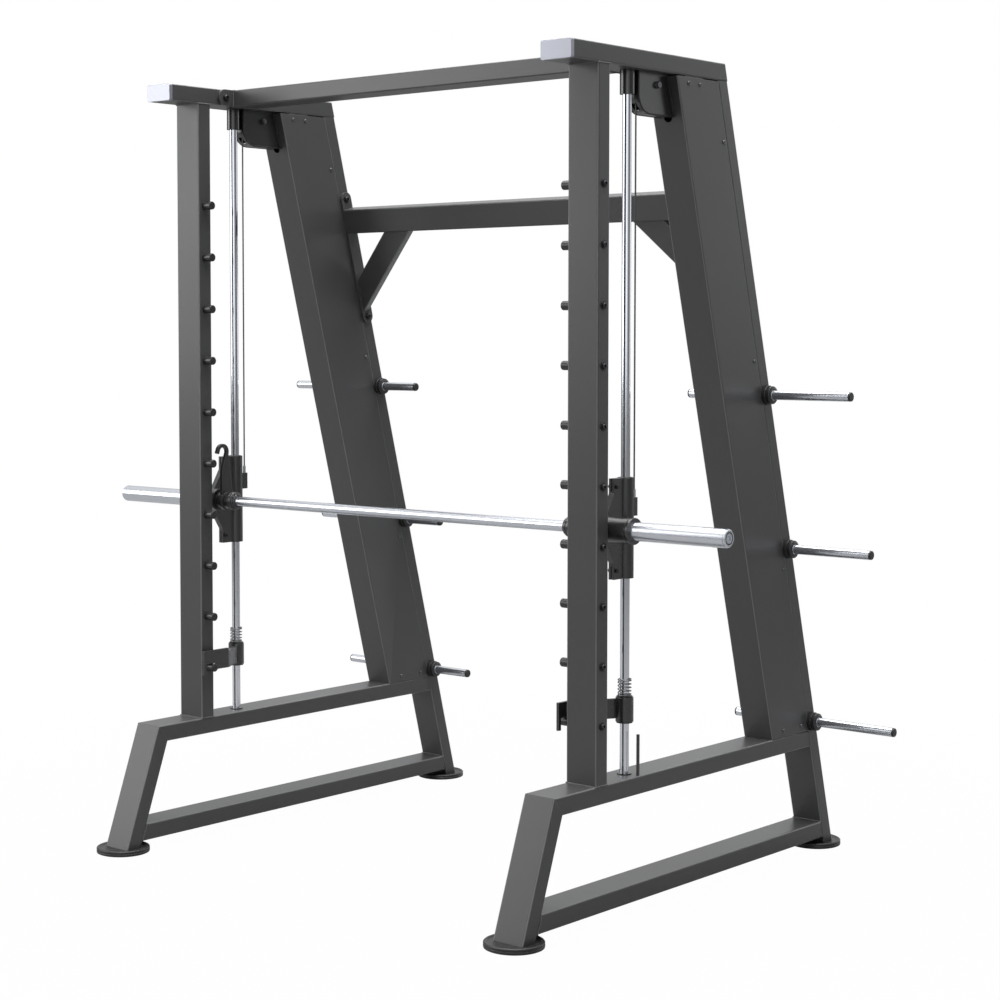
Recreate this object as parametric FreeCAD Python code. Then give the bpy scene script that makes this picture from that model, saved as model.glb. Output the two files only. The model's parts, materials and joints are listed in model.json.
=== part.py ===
import FreeCAD, Part
import math
import os
from FreeCAD import Vector

os.makedirs("parts", exist_ok=True)

# A counterbalanced barbell machine. Millimetres, +X to the user's right, -Y towards the front,
# +Z up. Everything is first placed with y = 0 on the front face of the uprights, and moved on
# export so that the origin is under the middle of the machine, on the floor.

# ---------------------------------------------------------------- driving dimensions
frame_spacing = 1530.0      # between the middles of the two side frames
total_height = 2320.0
rail_top = 373.0            # top of the base rails, where the uprights stand
tube_width = 100.0          # every frame tube is this wide along X
tube_depth = 50.0
post_depth = 45.0
tube_wall = 3.0
tube_corner = 4.5
rear_lean = 15.0            # degrees, posts and columns
leg_lean = 19.8             # degrees, front legs
post_back_at_rail = 1105.3  # y of a post's rear face at the height of the rail top
leg_front_at_rail = -176.0  # y of a front leg's front face at the same height
low_rail_top = 82.0
beam_front = -116.0         # y of the front of the top beams' end caps
end_cap = 12.0
cap_plug = 15.0             # how far an end cap's plug goes into the tube
cap_play = 0.2

pad_radius = 80.0
pad_height = 17.0
pad_floor = 13.0
pad_rim = 9.0

column_depth = 192.0        # cover, measured square to the leaning post
sheet = 2.0
cover_corner = 4.0
tab_sheet = 3.0             # flanges the cover is screwed to
screw_radius = 3.0
screw_length = 9.0
screw_head_radius = 6.0
screw_head = 3.0
slot_low = 2145.0           # bottom of the pulley's opening in the cover
slot_margin = 4.0           # opening's room each side of the pulley

crossbeam_front = 140.0
crossbeam_depth = 100.0
joint_plate = 8.0
plate_bolt_gap = 32.0       # from the beam's edge to the bolts beside it
plate_end = 28.0            # from a bolt to the end of its plate
frame_bolt = 6.0            # shank radius
frame_bolt_head = 9.0
frame_bolt_head_height = 6.0
frame_washer = 12.0
bolt_reach = 12.0           # thread showing inside the tube
rear_beam_height = 80.0
rear_beam_level = 1938.0    # z of the rear crossbeam's middle, on the middle of the posts
brace_width = 80.0
brace_depth = 28.0
brace_drop = 265.0          # brace's lower edge meets the joint plate this far under the crossbeam
brace_bolt_z = 1624.5

rod_radius = 12.5
rod_y = 192.4
socket_radius = 20.0
socket_length = 65.0
washer_radius = 20.0
washer = 3.0

peg_count = 10
peg_radius = 12.5
peg_length = 34.0
peg_y = 25.0
peg_top_z = 1958.2
peg_pitch = 158.5
peg_round = 2.5
peg_bolt = 5.0
peg_bolt_depth = 22.0       # bolt's reach into the peg
peg_bolt_head = 8.0

bar_y = 90.0
bar_z = 1047.4
bar_half_length = 1167.0
bar_radius = 15.0
sleeve_radius = 25.0
sleeve_start = 107.0        # from the middle of the side frame
collar_radius = 36.0
collar = 10.0
end_plug = 6.0

carriage_top = 1180.0
carriage_length = 272.0
carriage_radius = 23.0
housing_radius = 35.0
housing_inner = 41.0        # housing's reach towards the user
housing_outer = 95.0        # and away
web = 18.0
web_front = 130.0
web_grip = 40.0             # height of the clamp lugs
bearing_radius = 20.0
bearing_length = 58.0
bush_radius = 21.0
bush_length = 36.0
tab = 12.0
tab_back = 240.0
tab_top = 1124.0
tab_height = 50.0
anchor_radius = 4.5
anchor_depth = 24.0
anchor_height = 22.0
clamp_split = 3.0
clamp_screw = 3.0

hook_plate = 10.0
hook_middle = 70.0          # hook's plane, from the middle of the side frame
hook_hub_radius = 26.5
hook_hub_inner = 113.0
hook_forward = 65.0         # peg ahead of the bar when the hook is over it
hook_rise = 140.0           # and above the bar
hook_arch = 24.0
hook_finger = 12.0
hook_rest_turn = 18.0       # degrees, hooks stored clear of the pegs

stop_floor = 517.0
stop_height = 66.0
stop_radius = 24.5
stop_bush_radius = 18.0
arm_plate = 8.0
arm_bottom = 525.0
arm_top = 586.0
arm_back = 90.0
arm_finger_front = -12.0
finger_width = 10.0
finger_drop = 14.0
spring_radius = 17.5
spring_wire = 1.75
spring_height = 48.0
spring_turns = 6.5

cable_radius = 2.5
cable_y = 232.0
pulley_pitch = 70.0
pulley_z = 2238.0
pulley_width = 20.0
rear_pulley_pitch = 36.0
rear_pulley_z = 2225.0
rear_pulley_width = 16.0
bracket_radius = 26.0
rim = 4.0
axle_radius = 6.0
axle_head = 9.5
axle_head_height = 7.0
axle_nut = 9.0
guard_plate = 3.0
guard_half = 20.0
guard_front = 216.0
guard_bottom = 2157.0
guard_corner = 52.0
bracket_plate = 4.0

weight_line = 132.0         # cable's distance from the post's rear face
weight_width = 76.0
weight_depth = 110.0
weight_length = 266.0
weight_bottom = 1130.0      # along the post, from the height of the rail top
shoe = 12.0
shoe_gap = 2.0
tie_radius = 6.0
ferrule_radius = 7.0
ferrule = 40.0

store_levels = [1389.0, 932.0, 399.0]
store_radius = 13.5
store_outer = 282.0
store_inner = 168.0
store_root = 14.5           # thicker inside the boss
store_stud = 8.0            # outer peg's stud goes through the post into the inner peg
store_stud_reach = 20.0
boss_radius = 28.0
boss_step_radius = 26.0
boss = 12.0
boss_step = 14.0
store_cap = 6.0
store_cap_step = 0.5

base_pin_radius = 4.5
base_pin_height = 112.0
base_pin_from_edge = 8.0

slip = 0.05                 # radial clearance of shafts, bushes and bores
air = 0.3                   # gap between faces that move past each other
bolt_play = 0.4

# ---------------------------------------------------------------- derived places
side = frame_spacing / 2
half = tube_width / 2
inner_face = side - half
outer_face = side + half
beam_bottom = total_height - tube_depth
beam_mid_z = total_height - tube_depth / 2
lean = math.radians(rear_lean)
slope = math.radians(leg_lean)
pulley_y = cable_y + pulley_pitch
cover_line = post_depth + column_depth
nodes = {}


def on_post(off, along):
    """Point off the post's rear face (towards the front) and along it from the rail top."""
    y = post_back_at_rail - off * math.cos(lean) - along * math.sin(lean)
    z = rail_top - off * math.sin(lean) + along * math.cos(lean)
    return Vector(0, y, z)


def along_at(off, z):
    return (z - rail_top + off * math.sin(lean)) / math.cos(lean)


def leaned(shape):
    """Turn a shape built upright, with y = -off and z = along, onto the leaning post."""
    s = shape.copy()
    s.rotate(Vector(0, 0, 0), Vector(1, 0, 0), rear_lean)
    s.translate(Vector(0, post_back_at_rail, rail_top))
    return s


def block(x0, x1, y0, y1, z0, z1):
    return Part.makeBox(x1 - x0, y1 - y0, z1 - z0, Vector(x0, y0, z0))


def rod(radius, start, direction, length):
    return Part.makeCylinder(radius, length, start, direction)


def ring(outer, inner, start, direction, length):
    return rod(outer, start, direction, length).cut(rod(inner, start, direction, length))


def hexagon(radius, start, direction, length):
    points = [Vector(radius * math.cos(k * math.pi / 3), radius * math.sin(k * math.pi / 3), 0)
              for k in range(7)]
    prism = Part.Face(Part.makePolygon(points)).extrude(Vector(0, 0, length))
    prism.Placement = FreeCAD.Placement(start, FreeCAD.Rotation(Vector(0, 0, 1), direction))
    return prism


def rounded(width, depth, radius):
    """Rounded rectangle face in the XY plane, about the origin."""
    flat = block(-width / 2, width / 2, -depth / 2, depth / 2, 0, 1)
    upright_edges = [e for e in flat.Edges if abs(e.Vertexes[0].Z - e.Vertexes[1].Z) > 0.5]
    return flat.makeFillet(radius, upright_edges)


def bar_of(width, depth, radius, length):
    b = rounded(width, depth, radius)
    face = [f for f in b.Faces if abs(f.CenterOfMass.z) < 1e-6][0]
    return face.extrude(Vector(0, 0, length))


def tube(width, depth, length):
    """Hollow section standing on the XY plane, about the Z axis."""
    outer = bar_of(width, depth, tube_corner, length)
    inner = bar_of(width - 2 * tube_wall, depth - 2 * tube_wall, tube_corner - tube_wall, length)
    return outer.cut(inner)


def plate_yz(points, x0, x1):
    wire = Part.makePolygon([Vector(x0, y, z) for y, z in points + points[:1]])
    return Part.Face(wire).extrude(Vector(x1 - x0, 0, 0))


def both(shape):
    """The right-hand piece and its mirror image, as separate solids of one node."""
    other = shape.mirror(Vector(0, 0, 0), Vector(1, 0, 0))
    return Part.makeCompound(shape.Solids + other.Solids)


def mirrored(shape):
    return shape.mirror(Vector(0, 0, 0), Vector(1, 0, 0))


def socket_bolt(start, into, shank, length, head, head_height, washer_out):
    """Button head bolt with its washer: start is on the clamped face, into points inwards."""
    out = into * -1
    top = start + out * (2 + head_height)
    b = rod(shank, start, into, length)
    b = b.fuse(rod(washer_out, start, out, 2))
    b = b.fuse(rod(head, start + out * 2, out, head_height))
    rims = [e for e in b.Edges if e.Closed and (e.CenterOfMass - top).Length < 1e-4]
    b = b.makeChamfer(head_height * 0.35, rims[:1])
    return b.cut(hexagon(head * 0.5, top, into, head_height * 0.6)).removeSplitter()


X = Vector(1, 0, 0)
Y = Vector(0, 1, 0)
Z = Vector(0, 0, 1)
left_of = Vector(-1, 0, 0)

# ---------------------------------------------------------------- side frame tubes
peg_levels = [peg_top_z - k * peg_pitch for k in range(peg_count)]

upright = tube(tube_width, tube_depth, beam_bottom - rail_top)
upright.translate(Vector(side, tube_depth / 2, rail_top))
for level in peg_levels:
    upright = upright.cut(rod(peg_bolt + bolt_play, Vector(inner_face - 1, peg_y, level), X,
                              tube_width + 2))
nodes["front_uprights"] = both(upright)

slot_half = pulley_width / 2 + slot_margin
rear_off = weight_line + rear_pulley_pitch
rear_centre = on_post(rear_off, along_at(rear_off, rear_pulley_z))
beam = tube(tube_width, tube_depth, 2000)
beam.rotate(Vector(0, 0, 0), X, -90)
beam.translate(Vector(side, beam_front + end_cap, beam_mid_z))
behind = leaned(block(-3000, 3000, 0, 3000, -3000, 5000))
beam = beam.cut(behind)
beam = beam.cut(block(side - slot_half, side + slot_half, guard_front + guard_plate + 1,
                      rear_centre.y, beam_bottom - 1, beam_bottom + tube_wall + 1))
plate_bolts_y = [crossbeam_front - plate_bolt_gap, crossbeam_front + crossbeam_depth + plate_bolt_gap]
for y in plate_bolts_y:
    beam = beam.cut(rod(frame_bolt + bolt_play, Vector(inner_face - 1, y, beam_mid_z), X, 10))
nodes["top_beams"] = both(beam)

cap = bar_of(tube_width, tube_depth, tube_corner, end_cap)
plug_less = 2 * tube_wall + cap_play
plug = bar_of(tube_width - plug_less, tube_depth - plug_less, 3, end_cap + cap_plug)
cap = cap.fuse(plug)
cap.rotate(Vector(0, 0, 0), X, -90)
cap.translate(Vector(side, beam_front, beam_mid_z))
nodes["beam_end_caps"] = both(cap)

above_beam = block(-3000, 3000, -3000, 3000, beam_bottom, 4000)
under_pad = block(-3000, 3000, -3000, 3000, -500, pad_floor)

post = tube(tube_width, post_depth, 3000)
post.translate(Vector(side, -post_depth / 2, -700))
post = leaned(post).cut(above_beam).cut(under_pad)
plate_mid = post_depth / 2
top_bolt = along_at(plate_mid, rear_beam_level) + rear_beam_height / 2 + plate_bolt_gap
low_bolt = along_at(plate_mid, brace_bolt_z)
for along in (top_bolt, low_bolt):
    p = on_post(plate_mid, along)
    post = post.cut(rod(frame_bolt + bolt_play, Vector(inner_face - 1, p.y, p.z), X, 10))
for z in store_levels:
    p = on_post(plate_mid, along_at(plate_mid, z))
    post = post.cut(rod(store_stud + bolt_play, Vector(inner_face - 1, p.y, p.z), X, tube_width + 2))
nodes["rear_posts"] = both(post)

# the leg and the upper rail meet on a mitre, from the outer corner to the inner one
leg_line = leg_front_at_rail
mitre_y = tube_depth / math.cos(slope) - tube_depth * math.tan(slope)
mitre_length = math.hypot(mitre_y, tube_depth)
along_y = mitre_y / mitre_length
along_z = -tube_depth / mitre_length
far = 1000.0


def mitre_side(sign):
    """Everything on one side of the mitre plane: 1 for the rail's side, -1 for the leg's."""
    y0 = leg_line - far * along_y
    z0 = rail_top - far * along_z
    y1 = leg_line + far * along_y
    z1 = rail_top + far * along_z
    dy = -along_z * sign * 3 * far
    dz = along_y * sign * 3 * far
    return plate_yz([(y0, z0), (y1, z1), (y1 + dy, z1 + dz), (y0 + dy, z0 + dz)], -3000, 3000)


leg = tube(tube_width, tube_depth, 900)
leg.translate(Vector(side, tube_depth / 2, -500))
leg.rotate(Vector(0, 0, 0), X, -leg_lean)
leg.translate(Vector(0, leg_line, rail_top))
leg = leg.cut(mitre_side(1)).cut(under_pad)
nodes["base_front_legs"] = both(leg)

past_post = leaned(block(-3000, 3000, -post_depth, 3000, -3000, 5000))
rail = tube(tube_width, tube_depth, 2500)
rail.rotate(Vector(0, 0, 0), X, -90)
rail.translate(Vector(side, -700, rail_top - tube_depth / 2))
rail = rail.cut(mitre_side(-1)).cut(past_post)
rail = rail.cut(rod(rod_radius + slip, Vector(side, rod_y, rail_top - tube_wall - 1), Z, tube_wall + 2))
pin_x = outer_face - base_pin_from_edge
pin_y = rod_y + 5
bare_rail = mirrored(rail)
rail = rail.cut(rod(base_pin_radius + slip, Vector(pin_x, pin_y, rail_top - tube_wall - 1), Z,
                    tube_wall + 2))
nodes["base_top_rails"] = Part.makeCompound(rail.Solids + bare_rail.Solids)

behind_leg = block(-3000, 3000, -3000, tube_depth, -3000, 3000)
behind_leg.rotate(Vector(0, 0, 0), X, -leg_lean)
behind_leg.translate(Vector(0, leg_line, rail_top))
low_rail = tube(tube_width, tube_depth, 2500)
low_rail.rotate(Vector(0, 0, 0), X, -90)
low_rail.translate(Vector(side, -700, low_rail_top - tube_depth / 2))
low_rail = low_rail.cut(behind_leg).cut(past_post)
nodes["base_bottom_rails"] = both(low_rail)


def pad_at(y):
    p = rod(pad_radius, Vector(side, y, 0), Z, pad_height)
    p = p.makeFillet(3, [e for e in p.Edges if e.Closed and e.CenterOfMass.z > pad_height - 1])
    return p.cut(rod(pad_radius - pad_rim, Vector(side, y, pad_floor), Z, pad_height))


front_foot_y = leg_line + tube_depth / math.cos(slope) / 2 - math.tan(slope) * (rail_top - pad_floor)
rear_foot_y = on_post(plate_mid, along_at(plate_mid, pad_floor)).y
nodes["foot_pads"] = both(Part.makeCompound([pad_at(front_foot_y), pad_at(rear_foot_y)]))
y_mid = (front_foot_y + rear_foot_y) / 2

# short upright pin on the right base rail
nodes["base_pin"] = rod(base_pin_radius, Vector(pin_x, pin_y, rail_top - tube_wall), Z,
                        tube_wall + base_pin_height)

# ---------------------------------------------------------------- crossbeams, plates, braces
cross_half = inner_face - joint_plate
crossbeam = tube(tube_depth, crossbeam_depth, 2 * cross_half)
crossbeam.rotate(Vector(0, 0, 0), Y, 90)
crossbeam.translate(Vector(-cross_half, crossbeam_front + crossbeam_depth / 2, beam_mid_z))
nodes["top_crossbeam"] = crossbeam

round_y = [plate_bolts_y[0] - plate_end + tube_depth / 2, plate_bolts_y[1] + plate_end - tube_depth / 2]
top_plate = block(cross_half, inner_face, round_y[0], round_y[1], beam_bottom, total_height)
for y in round_y:
    top_plate = top_plate.fuse(rod(tube_depth / 2, Vector(cross_half, y, beam_mid_z), X, joint_plate))
for y in plate_bolts_y:
    top_plate = top_plate.cut(rod(frame_bolt + bolt_play, Vector(cross_half - 1, y, beam_mid_z), X,
                                  joint_plate + 2))
top_plate = top_plate.removeSplitter()

rear_mid = along_at(plate_mid, rear_beam_level)
rear_plate = block(cross_half, inner_face, -post_depth, 0, low_bolt, top_bolt)
for along in (low_bolt, top_bolt):
    rear_plate = rear_plate.fuse(rod(post_depth / 2, Vector(cross_half, -plate_mid, along), X, joint_plate))
for along in (low_bolt, top_bolt):
    rear_plate = rear_plate.cut(rod(frame_bolt + bolt_play, Vector(cross_half - 1, -plate_mid, along), X,
                                    joint_plate + 2))
rear_plate = leaned(rear_plate.removeSplitter())
nodes["joint_plates"] = both(Part.makeCompound([top_plate, rear_plate]))

rear_beam = tube(rear_beam_height, post_depth, 2 * cross_half)
rear_beam.rotate(Vector(0, 0, 0), Y, 90)
rear_beam.translate(Vector(-cross_half, -plate_mid, rear_mid))
nodes["rear_crossbeam"] = leaned(rear_beam)

# brace: a 45 degree tube from the underside of the rear crossbeam to the joint plate
under_beam = rear_mid - rear_beam_height / 2
brace = tube(brace_width, brace_depth, 900)
brace.translate(Vector(brace_width / 2, 0, -450))
brace.rotate(Vector(0, 0, 0), Y, -45)
brace.translate(Vector(cross_half, -plate_mid, under_beam - brace_drop))
brace = brace.cut(block(cross_half, 3000, -500, 500, -3000, 5000))
brace = brace.cut(block(-3000, 3000, -500, 500, under_beam, 5000))
nodes["rear_braces"] = both(leaned(brace))

bolt_spots = [Vector(cross_half, y, beam_mid_z) for y in plate_bolts_y]
for along in (low_bolt, top_bolt):
    p = on_post(plate_mid, along)
    bolt_spots.append(Vector(cross_half, p.y, p.z))
bolts = [socket_bolt(spot, X, frame_bolt, joint_plate + tube_wall + bolt_reach, frame_bolt_head,
                     frame_bolt_head_height, frame_washer) for spot in bolt_spots]
nodes["frame_bolts"] = both(Part.makeCompound(bolts))

# ---------------------------------------------------------------- guide rods and lock pegs
socket_bottom = beam_bottom - socket_length
guide = rod(rod_radius, Vector(side, rod_y, rail_top - tube_depth + tube_wall), Z,
            beam_bottom - rail_top + tube_depth - tube_wall)
nodes["guide_rods"] = both(guide)
holder = ring(socket_radius, rod_radius + slip, Vector(side, rod_y, socket_bottom), Z, socket_length)
foot_washer = ring(washer_radius, rod_radius + slip, Vector(side, rod_y, rail_top), Z, washer)
nodes["rod_holders"] = both(Part.makeCompound([holder, foot_washer]))

pegs = []
peg_bolts = []
for level in peg_levels:
    peg = rod(peg_radius, Vector(inner_face, peg_y, level), left_of, peg_length)
    tip = [e for e in peg.Edges if e.Closed and abs(e.CenterOfMass.x - inner_face + peg_length) < 1e-6]
    peg = peg.makeFillet(peg_round, tip)
    pegs.append(peg.cut(rod(peg_bolt + slip, Vector(inner_face, peg_y, level), left_of, peg_bolt_depth)))
    peg_bolts.append(socket_bolt(Vector(outer_face, peg_y, level), left_of, peg_bolt,
                                 tube_width + peg_bolt_depth - 2, peg_bolt_head,
                                 frame_bolt_head_height, frame_washer))
nodes["lock_pegs"] = both(Part.makeCompound(pegs))
nodes["lock_peg_bolts"] = both(Part.makeCompound(peg_bolts))

# ---------------------------------------------------------------- column covers
shell = block(side - half, side + half, -cover_line, -post_depth, -300, 2400)
shell = shell.makeFillet(cover_corner, [e for e in shell.Edges
                             if abs(e.CenterOfMass.y + cover_line) < 1e-6 and e.Length > 1000])
shell = shell.cut(block(side - half + sheet, side + half - sheet, -cover_line + sheet,
                        -post_depth + 1, -400, 2500))
shell = leaned(shell)
shell = shell.cut(block(-3000, 3000, -3000, 3000, beam_bottom - air, 4000))
shell = shell.cut(block(-3000, 3000, -3000, 3000, -3000, rail_top + air))
slot_top_y = on_post(cover_line, along_at(cover_line, slot_low)).y
shell = shell.cut(block(side - slot_half, side + slot_half, 200, slot_top_y + 6,
                        slot_low + slot_half, 3000))
shell = shell.cut(rod(slot_half, Vector(side, 200, slot_low + slot_half), Y, slot_top_y - 194))

screw_spots = []
for z, back in ((2250, 51), (2250, 105), (2101, 184), (1487, 184), (873, 184), (393, 64), (393, 162)):
    off = cover_line - back * math.cos(lean)
    screw_spots.append(on_post(off, along_at(off, z)))

tabs = []
screws = []
for lateral in (-1, 1):
    wall = side + lateral * (half - sheet)
    x0 = min(wall, wall - lateral * tab_sheet)
    x1 = max(wall, wall - lateral * tab_sheet)
    tabs.append(block(x0, x1, screw_spots[5].y - 20, screw_spots[6].y + 15, rail_top, rail_top + 36))
    tabs.append(block(x0, x1, screw_spots[0].y - 16, screw_spots[1].y + 16, beam_bottom - 34, beam_bottom))
    for spot in screw_spots[2:5]:
        along = along_at(post_depth, spot.z)
        tabs.append(leaned(block(x0, x1, -post_depth - 28, -post_depth, along - 18, along + 18)))
    for spot in screw_spots:
        start = Vector(side + lateral * half, spot.y, spot.z)
        into = Vector(-lateral, 0, 0)
        hole = rod(screw_radius + slip, start, into, screw_length + 3)
        shell = shell.cut(hole)
        tabs = [t.cut(hole) if t.BoundBox.intersect(hole.BoundBox) else t for t in tabs]
        s = rod(screw_radius, start, into, screw_length)
        s = s.fuse(rod(screw_head_radius, start, into * -1, screw_head))
        top_x = start.x + lateral * screw_head
        rims = [e for e in s.Edges if e.Closed and abs(e.CenterOfMass.x - top_x) < 1e-6]
        s = s.makeFillet(1.6, rims)
        screws.append(s.cut(hexagon(2.4, start + into * -screw_head, into, 2)))
nodes["column_covers"] = both(shell)
nodes["cover_tabs"] = both(Part.makeCompound(tabs))
nodes["cover_screws"] = both(Part.makeCompound(screws))

# ---------------------------------------------------------------- pulleys, guards, axles
front_centre = Vector(0, pulley_y, pulley_z)


def pulley(centre, pitch, width, hub_radius):
    """Grooved wheel turned about the X axis."""
    out = pitch + rim
    floor = pitch - cable_radius - air
    w = width / 2
    profile = [(-w, out), (-w + 1.5, out), (-3, floor), (3, floor), (w - 1.5, out), (w, out),
               (w, floor - 6), (w * 0.4, floor - 9), (w * 0.4, hub_radius + 4), (w + 2, hub_radius),
               (w + 2, axle_radius + slip), (-w - 2, axle_radius + slip), (-w - 2, hub_radius),
               (-w * 0.4, hub_radius + 4), (-w * 0.4, floor - 9), (-w, floor - 6)]
    wire = Part.makePolygon([Vector(side + x, centre.y, centre.z + r) for x, r in profile + profile[:1]])
    return Part.Face(wire).revolve(Vector(side, centre.y, centre.z), X, 360)


front_wheel = pulley(front_centre, pulley_pitch, pulley_width, 17)
rear_wheel = pulley(rear_centre, rear_pulley_pitch, rear_pulley_width, 13)
nodes["front_pulley_right"] = front_wheel
nodes["front_pulley_left"] = mirrored(front_wheel)
nodes["rear_pulley_right"] = rear_wheel
nodes["rear_pulley_left"] = mirrored(rear_wheel)


def guard_outline(inset):
    """Side view of the guard, open to the column behind."""
    front = guard_front + inset
    low = guard_bottom + inset
    r = guard_corner - inset
    cy = front + r
    cz = low + r
    along_bend = r * math.cos(math.pi / 4)
    bend = Part.Arc(Vector(0, front, cz), Vector(0, cy - along_bend, cz - along_bend),
                    Vector(0, cy, low)).toShape()
    edges = [Part.LineSegment(Vector(0, 600, low), Vector(0, 600, beam_bottom)).toShape(),
             Part.LineSegment(Vector(0, 600, beam_bottom), Vector(0, front, beam_bottom)).toShape(),
             Part.LineSegment(Vector(0, front, beam_bottom), Vector(0, front, cz)).toShape(),
             bend,
             Part.LineSegment(Vector(0, cy, low), Vector(0, 600, low)).toShape()]
    return Part.Face(Part.Wire(Part.__sortEdges__(edges)))


behind_guard = leaned(block(-3000, 3000, -cover_line - 3, 3000, -3000, 5000))
guard = guard_outline(0).extrude(Vector(2 * guard_half, 0, 0))
guard = guard.cut(guard_outline(guard_plate).extrude(Vector(2 * guard_half - 2 * guard_plate, 0, 0))
                  .translated(Vector(guard_plate, 0, 0)))
guard = guard.translated(Vector(side - guard_half, 0, 0)).cut(behind_guard)
guard = guard.cut(block(side - 9, side + 9, cable_y - 9, cable_y + 9, guard_bottom - 5, pulley_z - 20))
guard = guard.cut(rod(axle_radius + slip, Vector(side - 30, pulley_y, pulley_z), X, 60))
nodes["pulley_guards"] = both(guard)

bracket_gap = rear_pulley_width / 2 + 2 + 2
flanks = []
for x0 in (side - bracket_gap - bracket_plate, side + bracket_gap):
    flank = block(x0, x0 + bracket_plate, rear_centre.y - bracket_radius,
                  rear_centre.y + bracket_radius, rear_pulley_z, beam_bottom)
    flank = flank.fuse(rod(bracket_radius, Vector(x0, rear_centre.y, rear_pulley_z), X, bracket_plate))
    flanks.append(flank.cut(rod(axle_radius + slip, Vector(x0 - 1, rear_centre.y, rear_pulley_z), X,
                                bracket_plate + 2)).removeSplitter())
nodes["rear_pulley_brackets"] = both(Part.makeCompound(flanks))

axles = []
for centre, reach in ((front_centre, guard_half), (rear_centre, bracket_gap + bracket_plate)):
    start = Vector(side + reach, centre.y, centre.z)
    axle = rod(axle_radius, start, left_of, 2 * reach + axle_nut + 3)
    axle = axle.fuse(rod(axle_head + 0.5, start, X, 2))
    axle = axle.fuse(hexagon(axle_head, start + X * 2, X, axle_head_height))
    nut_at = Vector(side - reach, centre.y, centre.z)
    nut = hexagon(axle_head, nut_at, left_of, axle_nut)
    nut = nut.cut(rod(axle_radius + slip, nut_at, left_of, axle_nut))
    axles.append(axle)
    axles.append(nut)
nodes["pulley_axles"] = both(Part.makeCompound(axles))

# ---------------------------------------------------------------- cable over the two pulleys
gap_y = rear_centre.y - front_centre.y
gap_z = rear_centre.z - front_centre.z
reach = math.hypot(gap_y, gap_z)
tangent = math.atan2(gap_z, gap_y) + math.acos((pulley_pitch - rear_pulley_pitch) / reach)


def on_wheel(centre, radius, angle):
    return Vector(side, centre.y + radius * math.cos(angle), centre.z + radius * math.sin(angle))


def arc(centre, radius, a0, a1):
    return Part.Arc(on_wheel(centre, radius, a0), on_wheel(centre, radius, (a0 + a1) / 2),
                    on_wheel(centre, radius, a1)).toShape()


path = Part.Wire([
    arc(front_centre, pulley_pitch, math.pi, tangent),
    Part.LineSegment(on_wheel(front_centre, pulley_pitch, tangent),
                     on_wheel(rear_centre, rear_pulley_pitch, tangent)).toShape(),
    arc(rear_centre, rear_pulley_pitch, tangent, lean)])
start_point = on_wheel(front_centre, pulley_pitch, math.pi)
section = Part.Wire(Part.makeCircle(cable_radius, start_point, Z))
over = path.makePipeShell([section], True, False)
nodes["cable_over_pulleys"] = both(over)

# ---------------------------------------------------------------- carriages
carriage_bottom = carriage_top - carriage_length
bore_top = Vector(side, rod_y, carriage_bottom)
body = rod(carriage_radius, bore_top, Z, carriage_length)
meet = rod_y - carriage_radius / 2
web_points = [(meet, carriage_top), (web_front, carriage_top), (web_front, carriage_top - web_grip),
              (bar_y + 2, bar_z + housing_radius - 6), (bar_y, bar_z), (bar_y, bar_z - housing_radius + 3),
              (web_front, carriage_bottom + web_grip + 5), (web_front, carriage_bottom),
              (meet, carriage_bottom)]
body = body.fuse(plate_yz(web_points, side - web / 2, side + web / 2))
body = body.fuse(rod(housing_radius, Vector(side - housing_inner, bar_y, bar_z), X,
                     housing_inner + housing_outer))
body = body.fuse(block(side - tab / 2, side + tab / 2, rod_y + carriage_radius / 2, tab_back,
                       tab_top - tab_height, tab_top))
body = body.cut(rod(bearing_radius + slip, bore_top, Z, carriage_length))
body = body.cut(rod(bush_radius + slip, Vector(side - housing_inner, bar_y, bar_z), X,
                    housing_inner + housing_outer))
split_half = clamp_split / 2
for z0, z1 in ((carriage_top - web_grip + 4, carriage_top + 1),
               (carriage_bottom - 1, carriage_bottom + web_grip - 4)):
    body = body.cut(block(side - split_half, side + split_half, web_front - 1,
                          rod_y - bearing_radius + 1, z0, z1))
body = body.cut(rod(anchor_radius + slip, Vector(side, cable_y, tab_top - anchor_depth), Z,
                    anchor_depth + 1))
clamp_levels = [carriage_top - 22, carriage_bottom + 24]
clamp_y = web_front + 10
for z in clamp_levels:
    body = body.cut(rod(clamp_screw + slip, Vector(side - web, clamp_y, z), X, 2 * web))
body = body.removeSplitter()
nodes["carriage_right"] = body
nodes["carriage_left"] = mirrored(body)

clamp_screws = []
for z in clamp_levels:
    start = Vector(side - web / 2, clamp_y, z)
    s = rod(clamp_screw, start, X, web + 5).fuse(rod(5.5, start, left_of, 6))
    s = s.cut(hexagon(2.9, start + left_of * 6, X, 3.5))
    nut_at = Vector(side + web / 2, clamp_y, z)
    nut = hexagon(5.8, nut_at, X, 5).cut(rod(clamp_screw + slip, nut_at, X, 5))
    clamp_screws.append(s)
    clamp_screws.append(nut)
nodes["carriage_screws"] = both(Part.makeCompound(clamp_screws))

bearings = []
for z in (carriage_bottom + 1, carriage_top - 1 - bearing_length):
    bearings.append(ring(bearing_radius, rod_radius + slip, Vector(side, rod_y, z), Z, bearing_length))
nodes["carriage_bearings"] = both(Part.makeCompound(bearings))

bushes = []
for x in (side - housing_inner, side + housing_outer - bush_length):
    bushes.append(ring(bush_radius, bar_radius + slip, Vector(x, bar_y, bar_z), X, bush_length))
nodes["bar_bushes"] = both(Part.makeCompound(bushes))

anchor_top = tab_top + anchor_height
nodes["cable_anchors"] = both(rod(anchor_radius, Vector(side, cable_y, tab_top - anchor_depth), Z,
                                  anchor_top - tab_top + anchor_depth))
nodes["cable_front_runs"] = both(rod(cable_radius, Vector(side, cable_y, anchor_top), Z,
                                     pulley_z - air - anchor_top))

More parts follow.
